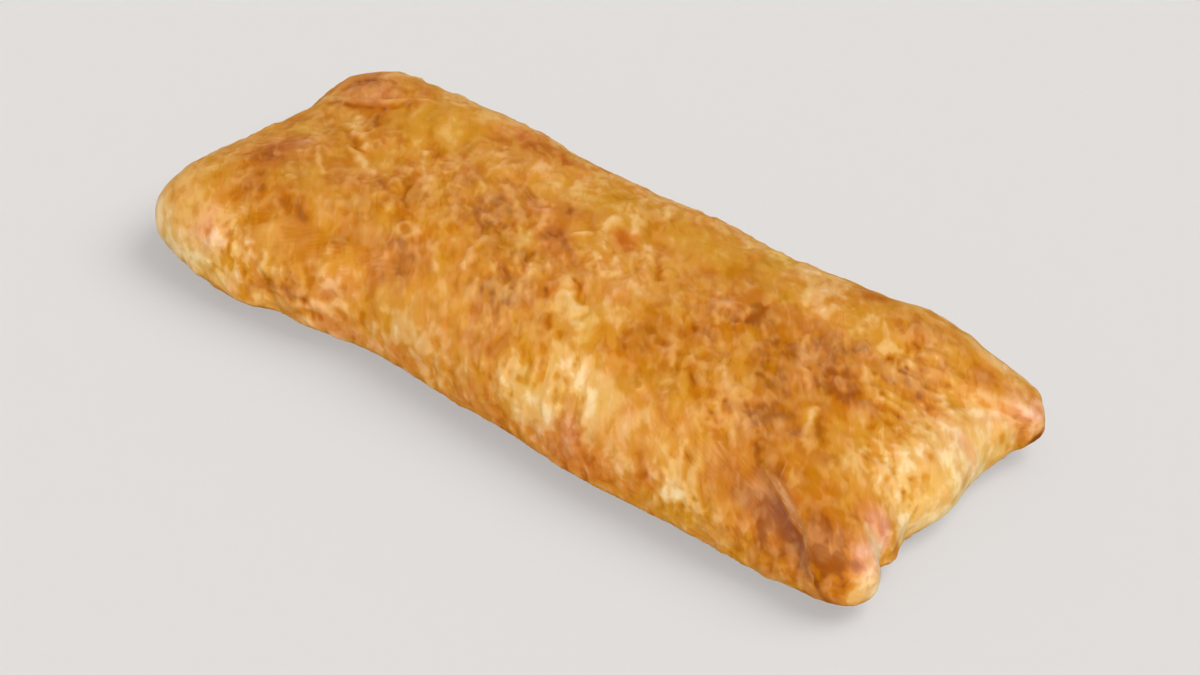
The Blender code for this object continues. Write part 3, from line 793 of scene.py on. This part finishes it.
    "brown_foot_left": ("front", -57, 9, 5, 4, 0, 0.22, -0.2),
    "peach_lip_left": ("front", -47.5, 11, 7, 4.5, 0, 0.22, -0.3),
    "amber_waist": ("front", -40.5, 7, 5, 4, 0, 0.20, -0.3),
    "peach_wall": ("front", -21.5, 14, 7, 5, 0, -0.32, -0.1),
    "peach_wall_right": ("front", -6, 16, 7, 4, 0, -0.08, -0.2),
    "cream_wall": ("front", 14.5, 14, 7, 6, 0, -0.44, 0.3),
    "cream_wall_right": ("front", 30, 18, 8, 4, 0, -0.16, 0.0),
    "rosy_patch": ("front", 25, 13, 4, 3.2, 0, 0.02, -0.8),
    "red_foot": ("front", 27, 8, 14, 4, 0, 0.13, -1.1),
    "orange_foot_middle": ("front", -1, 8, 12, 4.5, 0, 0.16, -0.5),
    "orange_foot_left": ("front", -22, 6, 12, 3, 0, -0.10, -0.5),
    "cream_wall_far_right": ("front", 52.3, 15.3, 3.2, 3.6, 0, -0.46, 0.1),
    "cream_wall_below": ("front", 49, 11.5, 3.5, 2.5, 0, -0.24, 0.1),
    "amber_wall_right": ("front", 66, 12.5, 3.5, 3, 0, -0.18, -0.1),
    "pale_ear_tip": ("front", 95, 9, 3.0, 6, 0, -0.12, 0.0),
    "amber_foot_left": ("front", -70.5, 9, 3.5, 3, 0, 0.14, 0.4),
    "cream_lobe_right": ("front", -68.5, 16.5, 2.6, 2.6, 0, -0.18, -0.2),
    "yellow_foot_by_waist": ("front", -65, 5.5, 3.5, 2.5, 0, -0.20, 0.1),
    "light_wall_right": ("front", 37, 15, 4, 4, 0, -0.16, 0.0),
    "olive_foot_right": ("front", 51, 7.5, 6, 4, 0, 0.04, 0.5),
    "brown_foot_far_right": ("front", 75, 10, 9.5, 5.5, 0, 0.30, -0.2),
    "brown_edge_right": ("front", 45, 12.5, 3.0, 5, 0, 0.20, -0.5),
    "brown_wall_far_right": ("top", 69, -31.5, 8, 4.5, -33, 0.44, -0.3),
    "amber_shoulder_right": ("top", 58.5, -31, 5, 4.5, 0, 0.24, 0.0),
    "orange_ear_foot": ("front", 87, 11, 6.5, 7, 0, 0.40, -0.3),
    # right end
    "peach_front_ear": ("right", -29, 11, 5, 5.5, 0, -0.42, -0.3),
    "yellow_front_ear_foot": ("right", -30, 6, 5, 3, 0, -0.32, 0.3),
    "cream_beside_ear": ("right", -14.4, 8.6, 3, 4, 0, -0.42, 0.1),
    "cream_mid_foot": ("right", 1.5, 6.5, 4, 3, 0, -0.20, 0.2),
    "cream_top_of_end": ("right", 5, 13.6, 4, 3, 0, -0.22, 0.0),
    "ear_groove": ("right", -22, 12, 2.6, 4, 0, -0.14, -0.4),
    "peach_beside_groove": ("right", -25, 10.5, 2.4, 4, 0, -0.38, -0.2),
    "ear_notch": ("right", -17.8, 6.5, 1.6, 2.2, 0, 0.24, -0.2),
    "spot_on_front_ear": ("right", -32.3, 13, 1.1, 1.2, 0, 0.20, -0.2),
    "yellow_end": ("right", 0, 8.5, 16, 7, 0, -0.40, 0.40),
    # partly its own pale yellow, partly painted light thrown up from the floor onto the foot of the right end
    "yellow_end_foot": ("right", 3, 3.5, 19, 3.5, 0, -0.20, 0.5),
    "cream_end": ("right", 12, 7, 10, 4.5, 0, -0.26, 0.3),
    "orange_end_hollow": ("right", 21, 10, 3, 4, 0, 0.02, 0.0),
    "peach_back_ear": ("right", 27.5, 11, 5, 6, 0, -0.16, -0.4),
    # painted shadow under the lifted back ear
    "shadow_under_back_ear": ("right", 27.6, 6, 1.5, 2.0, 30, 0.75, 0.0),
    "spot_on_back_ear": ("right", 29, 9.4, 0.9, 1.0, 0, 0.4, 0.0),
    "rosy_streak_end": ("right", 9, 12, 1.8, 5, 0, -0.06, -0.5),
}


# Places with a rosy brown tinge: side, u, v, radii, turn, strength
ROSY = {
    "end_groove": ("top", 89, -21, 2.3, 2.7, 0, 0.9),
    "end_groove_wall": ("right", -21, 12, 2.0, 2.6, 0, 0.9),
    "spot_on_front_ear": ("right", -32.3, 13, 1.4, 1.4, 0, 0.8),
    "spot_on_front_ear_top": ("top", 93.2, -32.4, 1.3, 1.3, 0, 0.5),
    "front_ear": ("right", -29, 13.0, 4.0, 3.0, 0, 0.42),
    "front_ear_top": ("top", 92, -29.5, 3.0, 3.4, 0, 0.42),
    "roll": ("top", -75, 20.5, 8, 3.0, 0, 0.12),
    "back_ear": ("right", 27, 12, 4, 4, 0, 0.45),
    "back_ear_top": ("top", 91, 28, 4, 4, 0, 0.40),
    "end_streak": ("right", 9, 12, 1.8, 5, 0, 0.6),
    "folded_corner": ("top", -80, 25.5, 9, 4.5, -10, 0.35),
    "left_lobe": ("front", -74.5, 14.5, 4.0, 3.4, 0, 0.45),
    "left_end": ("top", -74, -4.5, 2.4, 2.4, 0, 0.5),
    "waist_wall": ("front", -41, 15, 4, 3.5, 0, 0.35),
    "waist_foot": ("front", -37, 6, 6, 2.6, 0, 0.35),
    "front_wall": ("front", 25, 14, 4, 3.2, 0, 0.35),
}


def baked_colours(p, normals, marks, dart):
    """Browning from 0 (cream) to 1 (brown), with painted light and shade laid into it,
    warmth from -1 (red) to 1 (yellow) and how papery and pale the thin raised edges are."""
    z = p[:, 2]
    strokes = fractal(combed(warped(p, 6.0, 1.8, 201), 3.8, 9.0), 1.0, 203, 2)
    fine = noise(combed(p, 1.7, 4.4), 207)
    uneven = 0.18 * np.tanh(1.7 * strokes) + 0.05 * fine
    tone, light = 0.62 + 0.08 * noise(p / 13.0, 209), np.zeros(len(p))
    warmth = 0.30 * fractal(p, 12.0, 221, 2) + 0.40 * fractal(combed(p + 50.0, 3.0, 7.0), 1.0, 223, 2)
    blotted = warped(warped(p, 8.0, 1.8, 251), 3.0, 1.3, 253)
    close = warped(p, 2.0, 0.45, 259)
    ragged = np.clip(0.85 + 0.55 * noise(p / 3.4, 257), 0, 1.6)
    for side, u, v, ru, rv, turn, darker, yellower in BROWNED_AND_PAINTED_LIGHT.values():
        small = min(ru, rv) < 2.3
        inside = patch(close if small else blotted, normals, side, u, v, ru, rv, turn)
        tone += 1.20 * darker * inside * (1.0 if small else ragged)
        light += max(-darker, 0.35 if small else 0.0) * inside
        warmth += yellower * inside
    streaky = 1.0 - smooth_step(0.35, 0.8, normals[:, 2])
    uneven += streaky * (0.21 * np.tanh(1.8 * fractal(warped(combed(p, 2.8, 3.2), 1.5, 0.4, 265), 1.0, 267, 2)) - 0.85 * uneven)
    tone += uneven * (1.0 - np.clip(1.5 * light, 0, 0.6))
    # the dart's hollow is tinged rosy, partly as painted shade in the fold; the lip's tinge is its own
    rosy = 0.7 * dart["hollow"] + 0.55 * dart["lip"]
    for side, u, v, ru, rv, turn, strength in ROSY.values():
        rosy += strength * patch(close, normals, side, u, v, ru, rv, turn)
    rosy *= np.clip(0.85 + 0.8 * noise(p / 2.3, 281), 0.2, 1.3)
    wall = 1.0 - smooth_step(0.3, 0.8, normals[:, 2])
    # the far shoulder and the left end are paler than the top: partly paler dough, partly painted light for faces that
    # the lamps light too little
    tone -= 0.23 * smooth_step(0.14, 0.58, normals[:, 1]) * smooth_step(12.0, 26.0, p[:, 1])
    tone -= 0.10 * smooth_step(0.25, 0.7, -normals[:, 0]) * smooth_step(70.0, 84.0, -p[:, 0])
    # the walls, and most of all the low band of the front, are paler than the top: partly less browned dough, partly
    # painted light
    tone -= 0.07 * wall + 0.05 * side_share(normals, "front") * (1.0 - smooth_step(9.0, 15.0, z))
    # painted shade, in part: the dart's hollow is darker, redder and rosier, partly browning and partly the shade in
    # the fold, and the line between lip and hollow is painted dark as shade
    broken = np.clip(0.72 + 0.85 * noise(p / 2.2, 261), 0.0, 1.4)
    tone += 0.44 * dart["hollow"] * broken - 0.24 * dart["lip"] * broken + 0.10 * dart["under"] + 0.09 * dart["beyond"]
    warmth -= 0.6 * dart["hollow"] + 0.4 * dart["lip"] + 0.2 * dart["beyond"]
    tone -= 0.05 * marks["blister"] + 0.10 * marks["line"]
    # painted shade: pits and creases are darkened for the shade in them, the pits partly browned as well
    tone += 0.14 * marks["open"] + 0.40 * marks["pit"] + 0.10 * marks["layer"] + 0.25 * marks["cut"]
    # painted light and shade: the crumbly lumps are paler on their tops and darker in the gaps between them, following
    # their height
    tone -= 0.10 * marks["pleat"] + 0.08 * marks["pleat_wave"] + 0.28 * marks["lump"]
    pale = (0.60 * marks["ridge"] + 0.36 * marks["fine_ridge"] + 0.36 * marks["lip"]
            + 0.55 * marks["ring"] + 1.00 * marks["line"] + 0.30 * marks["pleat"])
    pale = np.clip(pale, 0, 1) * np.clip(0.75 + 0.5 * noise(p / 2.4, 231), 0.2, 1.2)
    crumb = smooth_step(0.35, 0.75, noise(p / 1.7, 271)) * dart["hollow"]
    pale = np.maximum(pale * (1.0 - 0.7 * np.maximum(dart["hollow"], dart["lip"])), np.clip(0.22 * dart["lip"] * broken + 0.8 * crumb, 0, 1))
    under = 1.0 - smooth_step(0.5, 3.0, z)
    tone += 0.12 * under * (1.0 - 0.8 * smooth_step(0.2, 0.6, normals[:, 0]))
    # neither the palest nor the darkest places turn flat
    tone = np.where(tone < 0.25, 0.25 - 0.25 * np.tanh((0.25 - tone) / 0.36), tone)
    tone = np.where(tone > 0.86, 0.86 + 0.20 * np.tanh((tone - 0.86) / 0.30), tone)
    gloss = np.clip(0.5 + 0.5 * fractal(p, 7.0, 241, 2), 0, 1)
    pale *= 1.0 - np.clip(marks["cut"] + marks["pit"], 0, 1)
    soft = np.clip(2.0 * light, 0, 1)
    pale *= 1.0 - 0.35 * soft
    return {
        "browning_and_painted_light": tone, "warmth": np.clip(warmth, -1.1, 1.3), "rosiness": np.clip(rosy, 0, 1),
        "paleness": np.clip(pale, 0, 1), "gloss": gloss, "crinkling": np.clip(marks["crinkled"], 0, 1) * (1.0 - 0.45 * soft),
        "upright": wall,
    }


# ---------------------------------------------------------------------- material
def add(tree, kind, inputs=None, **settings):
    made = tree.nodes.new(kind)
    for name, value in settings.items():
        setattr(made, name, value)
    for name, value in (inputs or {}).items():
        if hasattr(value, "is_output"):
            tree.links.new(value, made.inputs[name])
        else:
            made.inputs[name].default_value = value
    return made


def sums(tree, operation, first, second, third=None, clamp=False):
    made = tree.nodes.new("ShaderNodeMath")
    made.operation, made.use_clamp = operation, clamp
    for n, value in enumerate((first, second, third)):
        if value is None:
            continue
        if hasattr(value, "is_output"):
            tree.links.new(value, made.inputs[n])
        else:
            made.inputs[n].default_value = value
    return made.outputs[0]


def mixed(tree, share, first, second):
    made = tree.nodes.new("ShaderNodeMix")
    made.data_type, made.clamp_factor = "RGBA", True
    for socket, value in ((made.inputs[0], share), (made.inputs[6], first), (made.inputs[7], second)):
        if hasattr(value, "is_output"):
            tree.links.new(value, socket)
        else:
            socket.default_value = value
    return made.outputs[2]


def ramp(tree, factor, stops):
    made = tree.nodes.new("ShaderNodeValToRGB")
    made.color_ramp.interpolation = "EASE"
    line = made.color_ramp.elements
    while len(line) < len(stops):
        line.new(0.5)
    for stop, (place, colour) in zip(line, stops):
        stop.position, stop.color = place, (*colour, 1.0)
    tree.links.new(factor, made.inputs[0])
    return made.outputs[0]


# Colours of the crust from barely baked to dark, for four leanings
AMBER = (
    (0.00, (0.91, 0.650, 0.335)), (0.25, (0.77, 0.405, 0.110)), (0.50, (0.635, 0.250, 0.018)),
    (0.75, (0.52, 0.160, 0.002)), (1.00, (0.33, 0.080, 0.002)),
)
RED = (
    (0.00, (0.91, 0.590, 0.355)), (0.25, (0.78, 0.360, 0.135)), (0.50, (0.665, 0.206, 0.028)),
    (0.75, (0.50, 0.126, 0.006)), (1.00, (0.30, 0.068, 0.005)),
)
ROSE = (
    (0.00, (0.93, 0.590, 0.420)), (0.25, (0.78, 0.360, 0.215)), (0.50, (0.61, 0.212, 0.095)),
    (0.75, (0.43, 0.130, 0.052)), (1.00, (0.25, 0.068, 0.030)),
)
YELLOW = (
    (0.00, (0.93, 0.710, 0.335)), (0.25, (0.77, 0.450, 0.100)), (0.50, (0.630, 0.280, 0.014)),
    (0.75, (0.51, 0.195, 0.002)), (1.00, (0.32, 0.108, 0.002)),
)


def crust_material():
    material = bpy.data.materials.new("baked_filo")
    material.use_nodes = True
    material.cycles.use_bump_map_correction = False
    tree = material.node_tree
    tree.nodes.clear()
    where = add(tree, "ShaderNodeTexCoord").outputs["Object"]
    turned = where
    for angles in ((0.0, 0.0, -math.radians(WRINKLE_TURN)), (math.radians(WRINKLE_TILT), 0.0, 0.0)):
        turned = add(tree, "ShaderNodeMapping", {"Vector": turned, "Rotation": angles}).outputs["Vector"]
    read = {
        name: add(tree, "ShaderNodeAttribute", attribute_name=name).outputs["Fac"]
        for name in ("browning_and_painted_light", "warmth", "rosiness", "paleness", "gloss", "crinkling", "upright")
    }

    def grain(scale, detail, rough=0.55, twist=0.0):
        return add(tree, "ShaderNodeTexNoise", {
            "Vector": where, "Scale": scale, "Detail": detail, "Roughness": rough, "Distortion": twist,
        }).outputs["Fac"]

    def streaks(width, length, detail, twist):
        """Noise drawn out along the wrinkles; sizes in millimetres."""
        squeezed = add(tree, "ShaderNodeVectorMath", operation="MULTIPLY")
        tree.links.new(turned, squeezed.inputs[0])
        squeezed.inputs[1].default_value = (1000.0 / width, 1000.0 / length, 1000.0 / length)
        return add(tree, "ShaderNodeTexNoise", {
            "Vector": squeezed.outputs[0], "Scale": 1.0, "Detail": detail, "Roughness": 0.5, "Distortion": twist,
        }).outputs["Fac"]

    def centred(value):
        return sums(tree, "SUBTRACT", value, 0.5)

    def eased(value, low, high):
        return add(tree, "ShaderNodeMapRange", {
            "Value": value, "From Min": low, "From Max": high, "To Min": 0.0, "To Max": 1.0,
        }, interpolation_type="SMOOTHSTEP").outputs["Result"]

    mottle = grain(520.0, 2.0, 0.5, 0.4)
    upright = read["upright"]
    wide, narrow = streaks(1.7, 4.2, 1.0, 0.9), streaks(1.0, 1.7, 1.0, 0.6)
    wide = sums(tree, "MULTIPLY_ADD", sums(tree, "SUBTRACT", streaks(2.2, 2.5, 1.0, 0.9), wide), upright, wide)
    # short pale curls of the driest flakes
    curl = sums(tree, "ABSOLUTE", centred(streaks(4.6, 9.5, 1.0, 0.5)), 0.0)
    curl = sums(tree, "MULTIPLY", eased(curl, 0.16, 0.01), eased(streaks(2.8, 5.0, 1.0, 0.4), 0.46, 0.62))
    curl = sums(tree, "MULTIPLY", curl, sums(tree, "MULTIPLY_ADD", read["crinkling"], 0.7, 0.3))
    pale = sums(tree, "MULTIPLY_ADD", curl, 0.34, sums(tree, "MULTIPLY", read["paleness"], 0.65), clamp=True)

    level = sums(tree, "MULTIPLY_ADD", read["crinkling"], 0.11, 0.03)
    crisp = centred(eased(wide, 0.36, 0.64))
    tone = sums(tree, "MULTIPLY_ADD", crisp, level, read["browning_and_painted_light"])
    tone = sums(tree, "MULTIPLY_ADD", centred(narrow), 0.04, tone)
    level = sums(tree, "MULTIPLY_ADD", upright, 0.12, 0.07)
    tone = sums(tree, "MULTIPLY_ADD", centred(mottle), level, tone)
    tone = sums(tree, "MULTIPLY_ADD", pale, -0.24, tone)
    lean = sums(tree, "MULTIPLY_ADD", centred(streaks(2.4, 5.5, 1.0, 0.4)), 1.4, read["warmth"])
    amber, red, rose, yellow = (ramp(tree, tone, stops) for stops in (AMBER, RED, ROSE, YELLOW))
    colour = mixed(tree, sums(tree, "MULTIPLY", lean, -1.0, clamp=True), amber, red)
    colour = mixed(tree, sums(tree, "MULTIPLY", lean, 1.0, clamp=True), colour, yellow)
    colour = mixed(tree, read["rosiness"], colour, rose)
    papery = mixed(tree, sums(tree, "MULTIPLY_ADD", lean, 0.5, 0.5, clamp=True),
                   (0.86, 0.460, 0.205, 1.0), (0.88, 0.570, 0.225, 1.0))
    colour = mixed(tree, sums(tree, "MULTIPLY", pale, 0.60), colour, papery)

    rough = sums(tree, "MULTIPLY_ADD", read["gloss"], -0.14, 0.58)
    rough = sums(tree, "MULTIPLY_ADD", pale, 0.14, rough)

    fine = sums(tree, "MULTIPLY_ADD", narrow, 0.3, sums(tree, "MULTIPLY_ADD", crisp, 0.35, wide))
    fine = sums(tree, "MULTIPLY_ADD", curl, 0.22, fine)
    fine = sums(tree, "MULTIPLY_ADD", grain(1100.0, 2.0, 0.6), 0.20, fine)
    bump = add(tree, "ShaderNodeBump", {"Strength": 0.44, "Distance": 0.00014, "Height": fine}).outputs["Normal"]

    shader = add(tree, "ShaderNodeBsdfPrincipled", {
        "Base Color": colour, "Roughness": rough, "Normal": bump, "Specular IOR Level": 0.035,
    })
    out = tree.nodes.new("ShaderNodeOutputMaterial")
    tree.links.new(shader.outputs[0], out.inputs[0])
    return material


# -------------------------------------------------------------------- the crust
def map_places(lattice):
    """Flat places of the five fine sides and the underside, side by side in a
    unit square, about true to size."""
    unit = 0.255
    u = (lattice[:, 0] / CELLS_X - 0.5)
    v = (lattice[:, 1] / CELLS_Y - 0.5)
    w = lattice[:, 2] / CELLS_Z
    half = 0.002
    long_x, wide_y, tall = 0.190, 0.072, 0.030
    top = np.stack([0.1 + u * long_x * 0.80, 0.034 + v * wide_y * 0.85], axis=1)
    under = np.stack([0.1 + u * long_x * 0.95, 0.108 + v * wide_y], axis=1)
    front = np.stack([0.1 + u * long_x, 0.150 + w * tall], axis=1)
    back = np.stack([0.1 + u * long_x, 0.184 + w * tall], axis=1)
    left = np.stack([0.040 + v * wide_y, 0.218 + w * tall * 1.1], axis=1)
    right = np.stack([0.120 + v * wide_y, 0.218 + w * tall * 1.1], axis=1)
    return [(half + chart) / unit for chart in (top, front, back, left, right, under)]


def make_crust():
    block, lattice, sides, bottom = crust_grid()
    form = parcel_form(*block.T)
    normals = vertex_normals(form, sides, bottom)
    lines = {name: fold_line(fold) for name, fold in FOLDS.items()}
    laid = gathered(form, normals, lines)
    shaky = warped(warped(laid * 1000.0, 4.0, 0.7, 171), 1.9, 0.35, 173) / 1000.0
    solid = drawn_out(laid + normals * solid_relief(shaky, lines)[:, None])
    resting = form[:, 2] <= 1e-9
    solid[resting, 2] = 0.0
    solid[:, 2] = np.maximum(solid[:, 2], 0.0)
    low, high = (np.array(corner) for corner in CAD_BOX)
    solid[:, :2] -= (solid[:, :2].min(axis=0) + solid[:, :2].max(axis=0)) / 2.0
    solid[:, :2] += (low[:2] + high[:2]) / 2.0

    normals = vertex_normals(solid, sides, bottom)
    p = solid * 1000.0
    relief, marks = baked_relief(p, normals)
    colours = baked_colours(p, normals, marks, fold_marks(shaky, lines))
    crust = solid + normals * (relief / 1000.0)[:, None]
    crust[resting, 2] = 0.0
    crust[:, 2] = np.maximum(crust[:, 2], 0.0)

    faces = [quad for side in sides for quad in side.tolist()] + bottom
    mesh = bpy.data.meshes.new("baked_crust")
    mesh.from_pydata(crust.tolist(), [], faces)
    mesh.update()
    mesh.shade_smooth()
    for name, values in colours.items():
        attribute = mesh.attributes.new(name, "FLOAT", "POINT")
        attribute.data.foreach_set("value", values.astype(np.float32))

    charts = map_places(lattice)
    places = [chart[side.ravel()] for chart, side in zip(charts, sides)]
    places.append(charts[5][[v for ring in bottom for v in ring]])
    layer = mesh.uv_layers.new(name="OFBake")
    layer.uv.foreach_set("vector", np.concatenate(places).astype(np.float32).ravel())

    mesh.materials.append(crust_material())
    crust = bpy.data.objects.new("baked_crust", mesh)
    crust.cycles.shadow_terminator_geometry_offset = 0.6
    crust.cycles.shadow_terminator_offset = 0.15
    bpy.context.scene.collection.objects.link(crust)
    return crust


crust = make_crust()
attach(crust, "root")
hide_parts("bougatsa_parcel")


# ------------------------------------------------------------- floor and light
def make_floor():
    mesh = bpy.data.meshes.new("floor")
    reach = 6.0
    mesh.from_pydata([(-reach, -reach, 0), (reach, -reach, 0), (reach, reach, 0), (-reach, reach, 0)],
                     [], [(0, 1, 2, 3)])
    material = bpy.data.materials.new("pale_floor")
    material.use_nodes = True
    shader = material.node_tree.nodes["Principled BSDF"]
    shader.inputs["Base Color"].default_value = (0.728, 0.703, 0.685, 1.0)
    shader.inputs["Roughness"].default_value = 0.9
    shader.inputs["Specular IOR Level"].default_value = 0.1
    mesh.materials.append(material)
    floor = bpy.data.objects.new("floor", mesh)
    floor.location.z = -0.00005
    bpy.context.scene.collection.objects.link(floor)


def make_sun(name, azimuth, elevation, strength, angle, shadow=True, bounces=8):
    """A distant soft light. Azimuth 0 shines from -Y and 90 from +X."""
    light = bpy.data.lights.new(name, "SUN")
    light.energy, light.angle, light.use_shadow = strength, math.radians(angle), shadow
    light.cycles.max_bounces = bounces
    light.cycles.use_multiple_importance_sampling = shadow
    lamp = bpy.data.objects.new(name, light)
    az, el = math.radians(azimuth), math.radians(elevation)
    towards = (math.sin(az) * math.cos(el), -math.cos(az) * math.cos(el), math.sin(el))
    lamp.rotation_euler = Vector(towards).to_track_quat("Z", "Y").to_euler()
    bpy.context.scene.collection.objects.link(lamp)


def make_light():
    make_sun("key", 130, 54, 1.24, 48, bounces=0)
    make_sun("fill", 42, 20, 2.57, 90, shadow=False, bounces=0)
    make_sun("bounce", 62, -24, 0.42, 90, shadow=False, bounces=0)
    make_sun("left", 304, 17, 0.78, 90, shadow=False, bounces=0)
    make_sun("back", 235, 42, 0.78, 90, shadow=False, bounces=0)
    world = bpy.data.worlds.new("studio")
    world.use_nodes = True
    back = world.node_tree.nodes["Background"]
    back.inputs["Color"].default_value = (1.0, 0.99, 0.98, 1.0)
    back.inputs["Strength"].default_value = 0.14
    bpy.context.scene.world = world
    bpy.context.scene.view_settings.view_transform = "Standard"


# ------------------------------------------------------------------------ camera
def make_camera():
    az, el = math.radians(38.98), math.radians(38.0)
    back = np.array([math.sin(az) * math.cos(el), -math.cos(az) * math.cos(el), math.sin(el)])
    right = np.array([math.cos(az), math.sin(az), 0.0])
    up = np.cross(back, right)
    target = np.array([0.00787, 0.00169, 0.012])
    place = target + 0.9215 * back - 0.004258 * right - 0.005073 * up
    data = bpy.data.cameras.new("camera")
    data.lens, data.sensor_width = 135.0, 36.0
    data.clip_start, data.clip_end = 0.05, 50.0
    camera = bpy.data.objects.new("camera", data)
    camera.matrix_world = Matrix([[right[n], up[n], back[n], place[n]] for n in range(3)] + [[0, 0, 0, 1]])
    bpy.context.scene.collection.objects.link(camera)
    bpy.context.scene.camera = camera


make_floor()
make_light()
make_camera()
